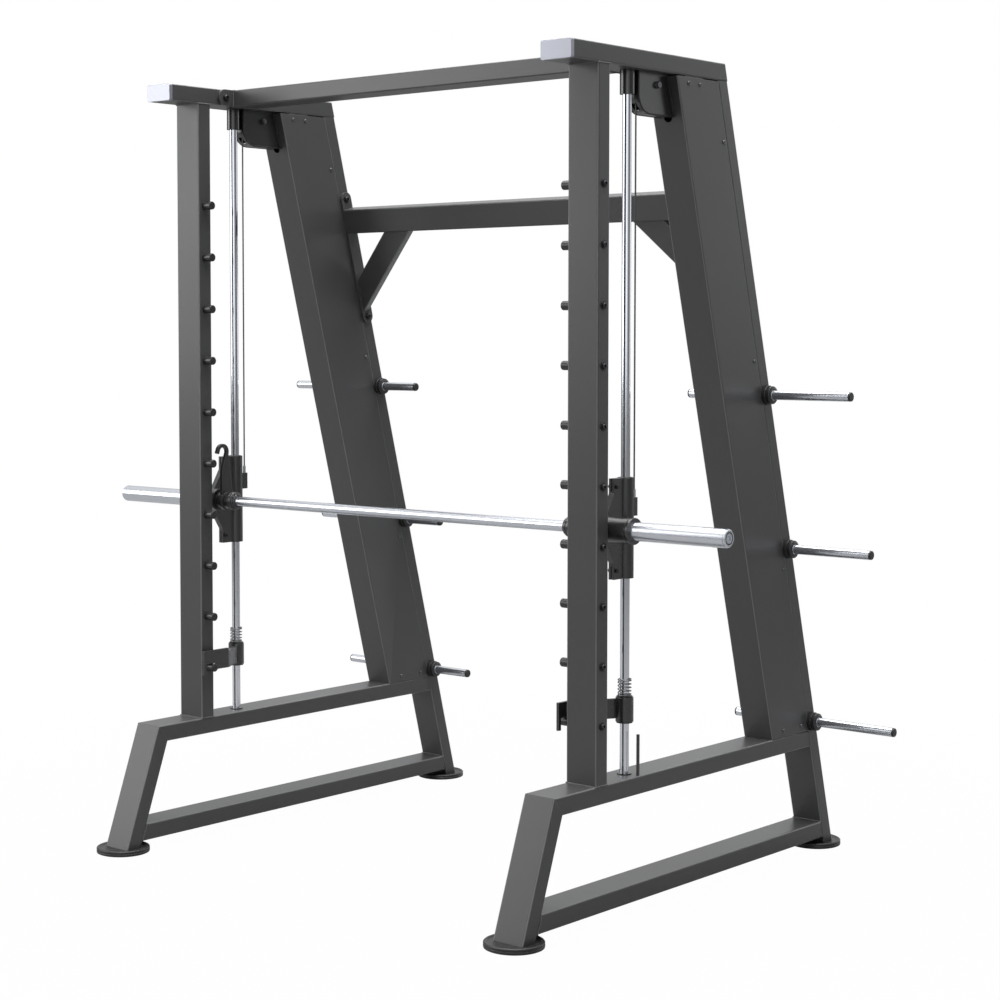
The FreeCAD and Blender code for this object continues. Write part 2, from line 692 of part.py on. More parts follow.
# ---------------------------------------------------------------- bar, sleeves, lock hooks
shaft_end = bar_half_length - end_plug - 20
nodes["bar_shaft"] = rod(bar_radius, Vector(-shaft_end, bar_y, bar_z), X, 2 * shaft_end)
collar_start = side + sleeve_start - collar
sleeve_end = bar_half_length - end_plug
sleeve = ring(sleeve_radius, bar_radius + slip, Vector(side + sleeve_start, bar_y, bar_z), X,
              sleeve_end - side - sleeve_start)
nodes["bar_sleeves"] = both(sleeve)
disc = ring(collar_radius, bar_radius + slip, Vector(collar_start, bar_y, bar_z), X, collar)
round_trip = 2 * math.pi * collar_radius
disc = disc.makeFillet(2, [e for e in disc.Edges if e.Closed and abs(e.Length - round_trip) < 1])
nodes["bar_collars"] = both(disc)
plug_end = Vector(sleeve_end, bar_y, bar_z)
end = rod(sleeve_radius - 1.5, plug_end, X, end_plug).fuse(rod(bar_radius - 0.5, plug_end, left_of, 19))
rims = [e for e in end.Edges if e.Closed and abs(e.CenterOfMass.x - sleeve_end - end_plug) < 1e-6]
end = end.makeChamfer(2, rims)
end = end.cut(ring(17, 13.5, plug_end + X * end_plug, left_of, 2))
end = end.cut(hexagon(7, plug_end + X * end_plug, left_of, 5))
nodes["sleeve_end_plugs"] = both(end)

bar_at = Vector(0, bar_y, bar_z)
hook_x0 = side - hook_middle - hook_plate / 2
slot = peg_radius + 1
py = bar_y - hook_forward
pz = bar_z + hook_rise
hook = rod(hook_arch, Vector(hook_x0, py, pz), X, hook_plate)
hook = hook.fuse(block(hook_x0, hook_x0 + hook_plate, py - hook_arch, py - slot, pz - hook_finger, pz))
arm = [(py + slot, pz), (py + hook_arch, pz), (bar_y + 24, bar_z + 8), (bar_y - 24, bar_z - 2),
       (py + slot, pz - 55)]
hook = hook.fuse(plate_yz(arm, hook_x0, hook_x0 + hook_plate))
hook = hook.fuse(rod(hook_hub_radius + 4, Vector(hook_x0, bar_y, bar_z), X, hook_plate))
hook = hook.cut(rod(slot, Vector(hook_x0 - 1, py, pz), X, hook_plate + 2))
hook = hook.cut(block(hook_x0 - 1, hook_x0 + hook_plate + 1, py - slot, py + slot, pz - 90, pz))
hook = hook.cut(block(hook_x0 - 1, hook_x0 + hook_plate + 1, py - hook_arch - 1, py, pz - 90,
                      pz - hook_finger))
hook = hook.fuse(rod(hook_hub_radius, Vector(side - hook_hub_inner, bar_y, bar_z), X,
                     hook_hub_inner - housing_inner - 2))
hook = hook.cut(rod(bar_radius + slip, Vector(side - hook_hub_inner - 1, bar_y, bar_z), X, hook_hub_inner))
hook = hook.removeSplitter()
hook.rotate(bar_at, X, -hook_rest_turn)
nodes["lock_hooks"] = both(hook)

# ---------------------------------------------------------------- safety stops
low_peg = peg_levels[-1]
flange = 3.2
arm_x0 = side - hook_middle - arm_plate / 2
stop_arm = rod(stop_radius, Vector(side, rod_y, stop_floor), Z, stop_height)
stop_arm = stop_arm.fuse(block(arm_x0, arm_x0 + arm_plate, arm_finger_front, arm_back,
                               arm_bottom, arm_top))
stop_arm = stop_arm.fuse(rod(arm_plate / 2, Vector(side - hook_middle, arm_back, arm_bottom), Z,
                             stop_floor + stop_height - arm_bottom - 4))
jog = Vector(hook_middle - 16, rod_y - 10 - arm_back, 0)
strut = block(-arm_plate / 2, arm_plate / 2, 0, jog.Length, arm_bottom, stop_floor + stop_height - 4)
strut.rotate(Vector(0, 0, 0), Z, -math.degrees(math.atan2(jog.x, jog.y)))
strut.translate(Vector(side - hook_middle, arm_back, 0))
stop_arm = stop_arm.fuse(strut)
finger_back = arm_finger_front + finger_width
stop_arm = stop_arm.cut(block(arm_x0 - 1, arm_x0 + arm_plate + 1, finger_back, peg_y + peg_radius + 1.5,
                              arm_bottom - 5, low_peg + peg_radius + air))
stop_arm = stop_arm.fuse(block(arm_x0, arm_x0 + arm_plate, arm_finger_front, finger_back,
                               arm_bottom - finger_drop, arm_bottom))
stop_arm = stop_arm.cut(rod(stop_bush_radius + slip, Vector(side, rod_y, stop_floor - 1), Z,
                            stop_height + 2))
stop_arm = stop_arm.removeSplitter()
nodes["stop_arm_right"] = stop_arm
nodes["stop_arm_left"] = mirrored(stop_arm)

bush = rod(stop_bush_radius, Vector(side, rod_y, stop_floor - air - flange), Z,
           stop_height + 2 * air + 2 * flange)
for z in (stop_floor - air - flange, stop_floor + stop_height + air):
    bush = bush.fuse(rod(stop_bush_radius + 4, Vector(side, rod_y, z), Z, flange))
bush = bush.cut(rod(rod_radius + slip, Vector(side, rod_y, 0), Z, 1000))
nodes["stop_bush_right"] = bush
nodes["stop_bush_left"] = mirrored(bush)

spring_floor = stop_floor + stop_height + air + flange
coil_height = spring_height - 2 * spring_wire
helix = Part.makeHelix(coil_height / spring_turns, coil_height, spring_radius)
wire_start = Vector(spring_radius, 0, 0)
wire_round = Part.Wire(Part.makeCircle(spring_wire, wire_start, Y))
coil = Part.Wire(helix).makePipeShell([wire_round], True, True)
coil.translate(Vector(side, rod_y, spring_floor + spring_wire))
nodes["stop_spring_right"] = coil
nodes["stop_spring_left"] = mirrored(coil)

# ---------------------------------------------------------------- counterweights in the columns
weight_top = weight_bottom + weight_length
mid = -weight_line
weight = bar_of(weight_width, weight_depth, 3, weight_length)
weight.translate(Vector(side, mid, weight_bottom))
weight = weight.cut(rod(tie_radius + slip, Vector(side, mid, weight_bottom - 1), Z, weight_length + 2))
weight = leaned(weight)
nodes["counterweight_right"] = weight
nodes["counterweight_left"] = mirrored(weight)

shoe_half = half - sheet - shoe_gap
shoes = []
for z in (weight_bottom - shoe, weight_top):
    s = block(side - shoe_half, side + shoe_half, -cover_line + sheet + shoe_gap,
              -post_depth - shoe_gap, z, z + shoe)
    for x0 in (side - shoe_half - 1, side + shoe_half - 13):
        s = s.cut(block(x0, x0 + 14, -post_depth - 33, 0, z - 1, z + shoe + 1))
    shoes.append(leaned(s.cut(rod(tie_radius + slip, Vector(side, mid, z - 1), Z, shoe + 2))))
shoe_pair = Part.makeCompound(shoes)
nodes["counterweight_shoes_right"] = shoe_pair
nodes["counterweight_shoes_left"] = mirrored(shoe_pair)

tie_low = weight_bottom - shoe - 16
tie_high = weight_top + shoe + 30
tie = rod(tie_radius, Vector(side, mid, tie_low), Z, tie_high - tie_low)
for z in (weight_bottom - shoe - 10, weight_top + shoe):
    tie = tie.fuse(hexagon(10, Vector(side, mid, z), Z, 10))
tie = tie.fuse(rod(ferrule_radius, Vector(side, mid, tie_high), Z, ferrule))
tie = leaned(tie)
nodes["counterweight_tie_right"] = tie
nodes["counterweight_tie_left"] = mirrored(tie)

run_low = tie_high + ferrule
run_high = along_at(rear_off, rear_pulley_z) - air
run = leaned(rod(cable_radius, Vector(side, mid, run_low), Z, run_high - run_low))
nodes["cable_rear_run_right"] = run
nodes["cable_rear_run_left"] = mirrored(run)

# ---------------------------------------------------------------- weight storage pegs
store_pegs = []
store_bosses = []
store_caps = []
for z in store_levels:
    p = on_post(plate_mid, along_at(plate_mid, z))
    for face, out, reach_out in ((outer_face, X, store_outer), (inner_face, left_of, store_inner)):
        root = Vector(face, p.y, p.z)
        peg = rod(store_radius, root, out, reach_out - store_cap)
        peg = peg.fuse(rod(store_root, root, out, boss + boss_step))
        if face == outer_face:
            peg = peg.fuse(rod(store_stud, root, out * -1, tube_width + store_stud_reach))
        else:
            peg = peg.cut(rod(store_stud + slip, root, out, store_stud_reach + 4))
        store_pegs.append(peg)
        outer_ring = ring(boss_radius, store_root + slip, root, out, boss)
        step = ring(boss_step_radius, store_root + slip, root + out * boss, out, boss_step)
        store_bosses.append(outer_ring.fuse(step).removeSplitter())
        tip = rod(store_radius - store_cap_step, root + out * (reach_out - store_cap), out, store_cap)
        end_x = root.x + out.x * reach_out
        rims = [e for e in tip.Edges if e.Closed and abs(e.CenterOfMass.x - end_x) < 1e-6]
        store_caps.append(tip.makeFillet(2.5, rims))
nodes["storage_pegs"] = both(Part.makeCompound(store_pegs))
nodes["storage_peg_bosses"] = both(Part.makeCompound(store_bosses))
nodes["storage_peg_caps"] = both(Part.makeCompound(store_caps))

# ---------------------------------------------------------------- export
for name, shape in nodes.items():
    shape.translate(Vector(0, -y_mid, 0))
    bad = [s for s in shape.Solids if not s.isValid() or s.Volume <= 0]
    print(name, len(shape.Solids), "solids", round(shape.Volume / 1000, 1), "cm3", "BAD" if bad else "")
    shape.exportStep("parts/%s.step" % name)
print(len(nodes), "nodes, middle of the machine at y", round(y_mid, 2))
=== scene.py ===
import json
import math

import bmesh
import bpy
from mathutils import Matrix, Vector


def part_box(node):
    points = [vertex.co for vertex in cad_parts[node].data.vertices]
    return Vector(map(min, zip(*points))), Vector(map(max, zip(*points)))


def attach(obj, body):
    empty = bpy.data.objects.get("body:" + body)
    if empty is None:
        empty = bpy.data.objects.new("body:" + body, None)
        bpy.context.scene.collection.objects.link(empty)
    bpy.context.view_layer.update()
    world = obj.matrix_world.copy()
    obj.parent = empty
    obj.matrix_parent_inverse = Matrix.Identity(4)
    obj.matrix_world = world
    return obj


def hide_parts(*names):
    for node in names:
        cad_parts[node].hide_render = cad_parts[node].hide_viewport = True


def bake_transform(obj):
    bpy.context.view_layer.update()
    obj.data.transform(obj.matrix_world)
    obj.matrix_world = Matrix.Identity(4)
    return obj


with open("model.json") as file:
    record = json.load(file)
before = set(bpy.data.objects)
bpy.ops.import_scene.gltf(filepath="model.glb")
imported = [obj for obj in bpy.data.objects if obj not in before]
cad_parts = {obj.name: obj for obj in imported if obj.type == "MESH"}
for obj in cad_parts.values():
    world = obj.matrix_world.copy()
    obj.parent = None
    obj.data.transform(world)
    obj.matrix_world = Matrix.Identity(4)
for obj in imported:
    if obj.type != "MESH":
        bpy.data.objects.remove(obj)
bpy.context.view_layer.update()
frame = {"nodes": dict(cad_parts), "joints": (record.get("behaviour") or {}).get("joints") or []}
nodes = frame["nodes"]
scene = bpy.context.scene

# ---------------------------------------------------------------- studio
# A white sweep with one broad lamp in front of the uprights, a weaker one on the open side
# and soft light from above, so that front faces stay clearly lighter than the flanks.
scene.view_settings.view_transform = "Standard"

camera_data = bpy.data.cameras.new("camera")
camera_data.sensor_width = 36
camera_data.lens = 76.3
camera_data.shift_x = 0.0438
camera_data.shift_y = -0.0519
camera = bpy.data.objects.new("camera", camera_data)
camera.location = (4.151, -4.869, 1.573)
camera.rotation_euler = (math.radians(86.849), 0, math.radians(40.864))
scene.collection.objects.link(camera)
scene.camera = camera

world = bpy.data.worlds.new("studio")
scene.world = world
world.use_nodes = True
sky = world.node_tree.nodes
sky_links = world.node_tree.links
sky.clear()
sky_out = sky.new("ShaderNodeOutputWorld")
rays = sky.new("ShaderNodeLightPath")
soft = sky.new("ShaderNodeBackground")
soft.inputs["Color"].default_value = (0.94, 0.97, 1.0, 1)
soft.inputs["Strength"].default_value = 0.15
shiny = sky.new("ShaderNodeBackground")
shiny.inputs["Strength"].default_value = 1.0
plain = sky.new("ShaderNodeBackground")
plain.inputs["Color"].default_value = (1, 1, 1, 1)
plain.inputs["Strength"].default_value = 1.0
where = sky.new("ShaderNodeTexCoord")
split = sky.new("ShaderNodeSeparateXYZ")
round_angle = sky.new("ShaderNodeMath")
round_angle.operation = "ARCTAN2"
round_share = sky.new("ShaderNodeMapRange")
round_share.inputs["From Min"].default_value = -math.pi
round_share.inputs["From Max"].default_value = math.pi
bands = sky.new("ShaderNodeValToRGB")
bands.color_ramp.elements[0].color = (0.3, 0.31, 0.32, 1)
bands.color_ramp.elements[1].color = (0.3, 0.31, 0.32, 1)
studio_bands = ((-160, 0.1), (-146, 0.08), (-131, 0.22), (-109, 0.35), (-80, 0.9), (-62, 1.35),
                (-44, 1.35), (-30, 0.8), (-8, 0.25), (15, 0.12), (47, 0.05), (53, 0.4), (58, 1.5),
                (85, 1.4), (110, 0.9), (140, 0.65))
for degrees, tone in studio_bands:
    band = bands.color_ramp.elements.new((degrees + 180) / 360)
    band.color = (tone * 0.97, tone * 0.985, tone, 1)
overhead = sky.new("ShaderNodeMapRange")
overhead.inputs["From Min"].default_value = 0.3
overhead.inputs["From Max"].default_value = 0.7
overhead_mix = sky.new("ShaderNodeMix")
overhead_mix.data_type = "RGBA"
overhead_mix.inputs[7].default_value = (1.0, 1.0, 1.0, 1)
by_gloss = sky.new("ShaderNodeMixShader")
by_camera = sky.new("ShaderNodeMixShader")
sky_links.new(where.outputs["Generated"], split.inputs["Vector"])
sky_links.new(split.outputs["Y"], round_angle.inputs[0])
sky_links.new(split.outputs["X"], round_angle.inputs[1])
sky_links.new(round_angle.outputs[0], round_share.inputs["Value"])
sky_links.new(round_share.outputs["Result"], bands.inputs["Fac"])
sky_links.new(split.outputs["Z"], overhead.inputs["Value"])
sky_links.new(overhead.outputs["Result"], overhead_mix.inputs["Factor"])
sky_links.new(bands.outputs["Color"], overhead_mix.inputs[6])
sky_links.new(overhead_mix.outputs[2], shiny.inputs["Color"])
sky_links.new(rays.outputs["Is Glossy Ray"], by_gloss.inputs["Fac"])
sky_links.new(soft.outputs[0], by_gloss.inputs[1])
sky_links.new(shiny.outputs[0], by_gloss.inputs[2])
sky_links.new(rays.outputs["Is Camera Ray"], by_camera.inputs["Fac"])
sky_links.new(by_gloss.outputs[0], by_camera.inputs[1])
sky_links.new(plain.outputs[0], by_camera.inputs[2])
sky_links.new(by_camera.outputs[0], sky_out.inputs["Surface"])


def lamp(name, place, aim, width, height, watts):
    data = bpy.data.lights.new(name, "AREA")
    data.shape = "RECTANGLE"
    data.size = width
    data.size_y = height
    data.energy = watts
    item = bpy.data.objects.new(name, data)
    item.location = place
    item.rotation_euler = (Vector(aim) - Vector(place)).to_track_quat("-Z", "Y").to_euler()
    scene.collection.objects.link(item)


lamp("front_lamp", (-5.6, -5.4, 3.2), (0, 0, 1.1), 4.0, 4.0, 205)
lamp("side_lamp", (7.0, 3.5, 3.0), (0, 0, 1.1), 3.0, 4.0, 10)
lamp("top_lamp", (0.0, 0.0, 6.5), (0, 0, 0), 6.0, 6.0, 670)

floor_mesh = bpy.data.meshes.new("studio_floor")
floor_mesh.from_pydata([(-40, -40, 0), (40, -40, 0), (40, 40, 0), (-40, 40, 0)], [], [(0, 1, 2, 3)])
floor = bpy.data.objects.new("studio_floor", floor_mesh)
scene.collection.objects.link(floor)
floor_paper = bpy.data.materials.new("white_paper")
floor_paper.use_nodes = True
paper = floor_paper.node_tree.nodes
paper_links = floor_paper.node_tree.links
paper_base = paper["Principled BSDF"]
paper_base.inputs["Base Color"].default_value = (0.35, 0.35, 0.35, 1)
paper_base.inputs["Roughness"].default_value = 0.9
paper_glow = paper.new("ShaderNodeEmission")
paper_glow.inputs["Color"].default_value = (1, 1, 1, 1)
paper_rays = paper.new("ShaderNodeLightPath")
paper_mix = paper.new("ShaderNodeMixShader")
paper_seen = paper.new("ShaderNodeMath")
paper_seen.operation = "MULTIPLY_ADD"
paper_seen.inputs[1].default_value = 0.15
paper_at = paper.new("ShaderNodeTexCoord")
paper_away = paper.new("ShaderNodeVectorMath")
paper_away.operation = "LENGTH"
paper_fade = paper.new("ShaderNodeMapRange")
paper_fade.inputs["From Min"].default_value = 1.2
paper_fade.inputs["From Max"].default_value = 3.2
paper_fade.inputs["To Min"].default_value = 0.985
paper_fade.inputs["To Max"].default_value = 1.0
paper_part = paper.new("ShaderNodeMath")
paper_part.operation = "MULTIPLY"
paper_links.new(paper_rays.outputs["Is Glossy Ray"], paper_seen.inputs[0])
paper_links.new(paper_rays.outputs["Is Camera Ray"], paper_seen.inputs[2])
paper_links.new(paper_at.outputs["Object"], paper_away.inputs[0])
paper_links.new(paper_away.outputs["Value"], paper_fade.inputs["Value"])
paper_links.new(paper_seen.outputs[0], paper_part.inputs[0])
paper_links.new(paper_fade.outputs["Result"], paper_part.inputs[1])
paper_links.new(paper_part.outputs[0], paper_mix.inputs["Fac"])
paper_links.new(paper_base.outputs[0], paper_mix.inputs[1])
paper_links.new(paper_glow.outputs[0], paper_mix.inputs[2])
paper_links.new(paper_mix.outputs[0], paper["Material Output"].inputs["Surface"])
floor_mesh.materials.append(floor_paper)

# ---------------------------------------------------------------- side frame tubes
# Rectangular steel tube with slightly rounded corners, cut to length, welded up and coated with baked
# charcoal powder: satin, with a fine peel, edges a little lighter partly from rubbing and partly as painted
# highlight, and a painted highlight along the corners.
LEAN = math.radians(15.0)
LEG_LEAN = math.radians(19.8)


def new_group(name, inputs, outputs):
    """A shader node group with its ends: inputs are (name, kind, value), outputs (name, kind)."""
    group = bpy.data.node_groups.new(name, "ShaderNodeTree")
    for label, kind, value in inputs:
        made = group.interface.new_socket(name=label, in_out="INPUT", socket_type=kind)
        if value is not None:
            made.default_value = value
    for label, kind in outputs:
        group.interface.new_socket(name=label, in_out="OUTPUT", socket_type=kind)
    start = group.nodes.new("NodeGroupInput")
    end = group.nodes.new("NodeGroupOutput")
    return group, start, end


def math_node(tree, operation, *values):
    made = tree.nodes.new("ShaderNodeMath")
    made.operation = operation
    for place, value in enumerate(values):
        if isinstance(value, bpy.types.NodeSocket):
            tree.links.new(value, made.inputs[place])
        else:
            made.inputs[place].default_value = value
    return made.outputs[0]


# edges, partly rubbed and partly painted highlight: how far the surface nearby turns away from its own
# direction
edge_group, edge_in, edge_out = new_group(
    "rubbed_edges",
    [("Vector", "NodeSocketVector", None), ("Reach", "NodeSocketFloat", 0.003),
     ("Patchiness", "NodeSocketFloat", 0.5)],
    [("Mask", "NodeSocketFloat"), ("Normal", "NodeSocketVector")])
rounding = edge_group.nodes.new("ShaderNodeBevel")
rounding.samples = 4
surface = edge_group.nodes.new("ShaderNodeNewGeometry")
agree = edge_group.nodes.new("ShaderNodeVectorMath")
agree.operation = "DOT_PRODUCT"
edge_group.links.new(edge_in.outputs["Reach"], rounding.inputs["Radius"])
edge_group.links.new(rounding.outputs["Normal"], agree.inputs[0])
edge_group.links.new(surface.outputs["Normal"], agree.inputs[1])
away = math_node(edge_group, "SUBTRACT", 1.0, agree.outputs["Value"])
strong = math_node(edge_group, "MULTIPLY", away, 5.0)
patches = edge_group.nodes.new("ShaderNodeTexNoise")
patches.inputs["Scale"].default_value = 35.0
patches.inputs["Detail"].default_value = 4.0
edge_group.links.new(edge_in.outputs["Vector"], patches.inputs["Vector"])
worn = math_node(edge_group, "MULTIPLY", patches.outputs["Fac"], edge_in.outputs["Patchiness"])
kept = math_node(edge_group, "SUBTRACT", 1.0, worn)
mask = math_node(edge_group, "MULTIPLY", strong, kept)
limited = math_node(edge_group, "MINIMUM", mask, 1.0)
edge_group.links.new(limited, edge_out.inputs["Mask"])
edge_group.links.new(rounding.outputs["Normal"], edge_out.inputs["Normal"])

# painted corner highlight: where a face square to X turns over into one along it, the colour is made lighter,
# a painted highlight of the lamps on the rounded corner
corner_highlight_group, corner_in, corner_out = new_group(
    "rolled_corners", [("Lightness", "NodeSocketFloat", 1.0)], [("Mask", "NodeSocketFloat")])
corner_way = corner_highlight_group.nodes.new("ShaderNodeNewGeometry")
corner_split = corner_highlight_group.nodes.new("ShaderNodeSeparateXYZ")
corner_highlight_group.links.new(corner_way.outputs["True Normal"], corner_split.inputs["Vector"])
across = math_node(corner_highlight_group, "ABSOLUTE", corner_split.outputs["X"])
flat_share = math_node(corner_highlight_group, "SUBTRACT", 1.0, across)
turned_over = math_node(corner_highlight_group, "MULTIPLY", across, flat_share)
corner_peak = math_node(corner_highlight_group, "MULTIPLY", turned_over, 4.6)
corner_lit = math_node(corner_highlight_group, "MULTIPLY", corner_peak, corner_in.outputs["Lightness"])
corner_highlight_group.links.new(math_node(corner_highlight_group, "MINIMUM", corner_lit, 1.0), corner_out.inputs["Mask"])

# baked powder: a soft drift of shade, fine peel, and grains that glint a little
powder_group, powder_in, powder_out = new_group(
    "baked_powder",
    [("Vector", "NodeSocketVector", None), ("Peel Scale", "NodeSocketFloat", 420.0),
     ("Drift", "NodeSocketFloat", 0.12)],
    [("Shade", "NodeSocketFloat"), ("Height", "NodeSocketFloat"), ("Roughness", "NodeSocketFloat")])
peel = powder_group.nodes.new("ShaderNodeTexNoise")
peel.inputs["Detail"].default_value = 2.0
powder_group.links.new(powder_in.outputs["Vector"], peel.inputs["Vector"])
powder_group.links.new(powder_in.outputs["Peel Scale"], peel.inputs["Scale"])
drift = powder_group.nodes.new("ShaderNodeTexNoise")
drift.inputs["Scale"].default_value = 2.2
drift.inputs["Detail"].default_value = 5.0
powder_group.links.new(powder_in.outputs["Vector"], drift.inputs["Vector"])
grain = powder_group.nodes.new("ShaderNodeTexNoise")
grain.inputs["Scale"].default_value = 1500.0
grain.inputs["Detail"].default_value = 1.0
powder_group.links.new(powder_in.outputs["Vector"], grain.inputs["Vector"])
shift = math_node(powder_group, "SUBTRACT", drift.outputs["Fac"], 0.5)
amount = math_node(powder_group, "MULTIPLY", shift, powder_in.outputs["Drift"])
speck = math_node(powder_group, "MULTIPLY_ADD", grain.outputs["Fac"], 0.16, 0.92)
shade = math_node(powder_group, "ADD", speck, amount)
rough = math_node(powder_group, "MULTIPLY_ADD", drift.outputs["Fac"], 0.08, -0.04)
powder_group.links.new(shade, powder_out.inputs["Shade"])
powder_group.links.new(peel.outputs["Fac"], powder_out.inputs["Height"])
powder_group.links.new(rough, powder_out.inputs["Roughness"])


def placed(material, group, **values):
    made = material.node_tree.nodes.new("ShaderNodeGroup")
    made.node_tree = group
    for name, value in values.items():
        made.inputs[name.replace("_", " ")].default_value = value
    return made


def coated(name, colour, wear_and_highlight_colour, roughness, peel_scale, peel_height, reach=0.002, metallic=0.0, wear_and_highlight=0.5,
           corners=0.0, glint=0.5):
    """A painted or moulded surface: powder-like peel, drift of shade, and edges made lighter partly by wear
    and partly as painted highlight.
    """
    material = bpy.data.materials.new(name)
    material.use_nodes = True
    tree = material.node_tree
    base = tree.nodes["Principled BSDF"]
    base.inputs["Metallic"].default_value = metallic
    base.inputs["Specular IOR Level"].default_value = glint
    at = tree.nodes.new("ShaderNodeTexCoord")
    powder = placed(material, powder_group, Peel_Scale=peel_scale)
    edges = placed(material, edge_group, Reach=reach)
    tree.links.new(at.outputs["Object"], powder.inputs["Vector"])
    tree.links.new(at.outputs["Object"], edges.inputs["Vector"])
    toned = tree.nodes.new("ShaderNodeMix")
    toned.data_type = "RGBA"
    toned.blend_type = "MULTIPLY"
    toned.inputs["Factor"].default_value = 1.0
    toned.inputs[6].default_value = (*colour, 1)
    tree.links.new(powder.outputs["Shade"], toned.inputs[7])
    edged = tree.nodes.new("ShaderNodeMix")
    edged.data_type = "RGBA"
    tree.links.new(toned.outputs[2], edged.inputs[6])
    edged.inputs[7].default_value = (*wear_and_highlight_colour, 1)
    # Edges turn lighter partly as wear and partly as a painted highlight of the lamps on the rounded edge.
    wear_and_highlight_mix = math_node(tree, "MULTIPLY", edges.outputs["Mask"], wear_and_highlight)
    # corners: a painted highlight along corners between faces square to X and faces along X.
    if corners:
        highlit_corners = placed(material, corner_highlight_group, Lightness=corners)
        wear_and_highlight_mix = math_node(tree, "MAXIMUM", wear_and_highlight_mix, highlit_corners.outputs["Mask"])
    tree.links.new(wear_and_highlight_mix, edged.inputs["Factor"])
    tree.links.new(edged.outputs[2], base.inputs["Base Color"])
    tree.links.new(math_node(tree, "ADD", powder.outputs["Roughness"], roughness), base.inputs["Roughness"])
    bump = tree.nodes.new("ShaderNodeBump")
    bump.inputs["Strength"].default_value = 0.35
    bump.inputs["Distance"].default_value = peel_height
    tree.links.new(powder.outputs["Height"], bump.inputs["Height"])
    tree.links.new(edges.outputs["Normal"], bump.inputs["Normal"])
    tree.links.new(bump.outputs["Normal"], base.inputs["Normal"])
    return material


def finish_node(name, material):
    """A CAD node keeps its shape and takes this material."""
    for place in nodes[name].material_slots:
        place.material = material
    if not nodes[name].material_slots:
        nodes[name].data.materials.append(material)


# Charcoal powder: its lighter edges are partly wear and partly painted highlight, and corners=0.8 paints a
# highlight along the tube corners.
charcoal = coated("charcoal_powder", (0.072, 0.072, 0.0725), (0.23, 0.23, 0.232), 0.34, 420, 0.00022, 0.0015,
                  corners=0.8)
for name in ("front_uprights", "top_beams", "rear_posts", "base_front_legs", "base_top_rails",
             "base_bottom_rails"):
    finish_node(name, charcoal)


def solids_of(name):
    """The (lowest, highest) corners of each separate solid in a CAD node, left to right and upwards."""
    shape = bmesh.new()
    shape.from_mesh(nodes[name].data)
    bmesh.ops.remove_doubles(shape, verts=shape.verts, dist=1e-6)
    left = set(shape.verts)
    found = []
    while left:
        wave = [left.pop()]
        island = []
        while wave:
            corner = wave.pop()
            island.append(corner.co.copy())
            for edge in corner.link_edges:
                other = edge.other_vert(corner)
                if other in left:
                    left.remove(other)
                    wave.append(other)
        low = Vector([min(p[k] for p in island) for k in range(3)])
        high = Vector([max(p[k] for p in island) for k in range(3)])
        found.append((low, high))
    shape.free()
    return sorted(found, key=lambda b: (round(b[0].x, 3), round(b[0].z, 3), round(b[0].y, 3)))

# ---------------------------------------------------------------- weld beads
# Fillet welds run round the ends of the tubes where they stand on each other. They are laid
# by hand as a row of small overlapping ripples, then coated with the tubes.
BEAD = 0.0021


def new_tree(name, inputs):
    """A geometry tree with named inputs (label, kind, value), and its two ends."""
    tree = bpy.data.node_groups.new(name, "GeometryNodeTree")
    tree.interface.new_socket(name="Geometry", in_out="INPUT", socket_type="NodeSocketGeometry")
    for label, kind, value in inputs:
        made = tree.interface.new_socket(name=label, in_out="INPUT", socket_type=kind)
        if value is not None:
            made.default_value = value
    tree.interface.new_socket(name="Geometry", in_out="OUTPUT", socket_type="NodeSocketGeometry")
    return tree, tree.nodes.new("NodeGroupInput"), tree.nodes.new("NodeGroupOutput")


def close_tree(tree, start, end, geometry):
    """Every tree ends the same way: real geometry, smooth faces and its finish."""
    real = tree.nodes.new("GeometryNodeRealizeInstances")
    smooth = tree.nodes.new("GeometryNodeSetShadeSmooth")
    dressed = tree.nodes.new("GeometryNodeSetMaterial")
    tree.links.new(geometry, real.inputs["Geometry"])
    tree.links.new(real.outputs[0], smooth.inputs["Geometry"])
    tree.links.new(smooth.outputs[0], dressed.inputs["Geometry"])
    tree.links.new(start.outputs["Finish"], dressed.inputs["Material"])
    tree.links.new(dressed.outputs[0], end.inputs[0])


def grown(name, source, tree, sharp=None, **values):
    """Runs the tree on the source object and keeps the result as a plain mesh."""
    modifier = source.modifiers.new(name, "NODES")
    modifier.node_group = tree
    for item in tree.interface.items_tree:
        label = item.name.replace(" ", "_")
        if item.in_out == "INPUT" and label in values:
            modifier[item.identifier] = values[label]
    view = bpy.context.evaluated_depsgraph_get()
    mesh = bpy.data.meshes.new_from_object(source.evaluated_get(view), depsgraph=view)
    if sharp is not None:
        mesh.set_sharp_from_angle(angle=math.radians(sharp))
    piece = bpy.data.objects.new(name, mesh)
    scene.collection.objects.link(piece)
    bpy.data.objects.remove(source)
    return piece


def line_of(name, runs, closed):
    """A curve object of straight runs through the given points."""
    data = bpy.data.curves.new(name, "CURVE")
    data.dimensions = "3D"
    for points in runs:
        run = data.splines.new("POLY")
        run.points.add(len(points) - 1)
        for place, point in zip(run.points, points):
            place.co = (*point, 1)
        run.use_cyclic_u = closed
    made = bpy.data.objects.new(name, data)
    scene.collection.objects.link(made)
    return made


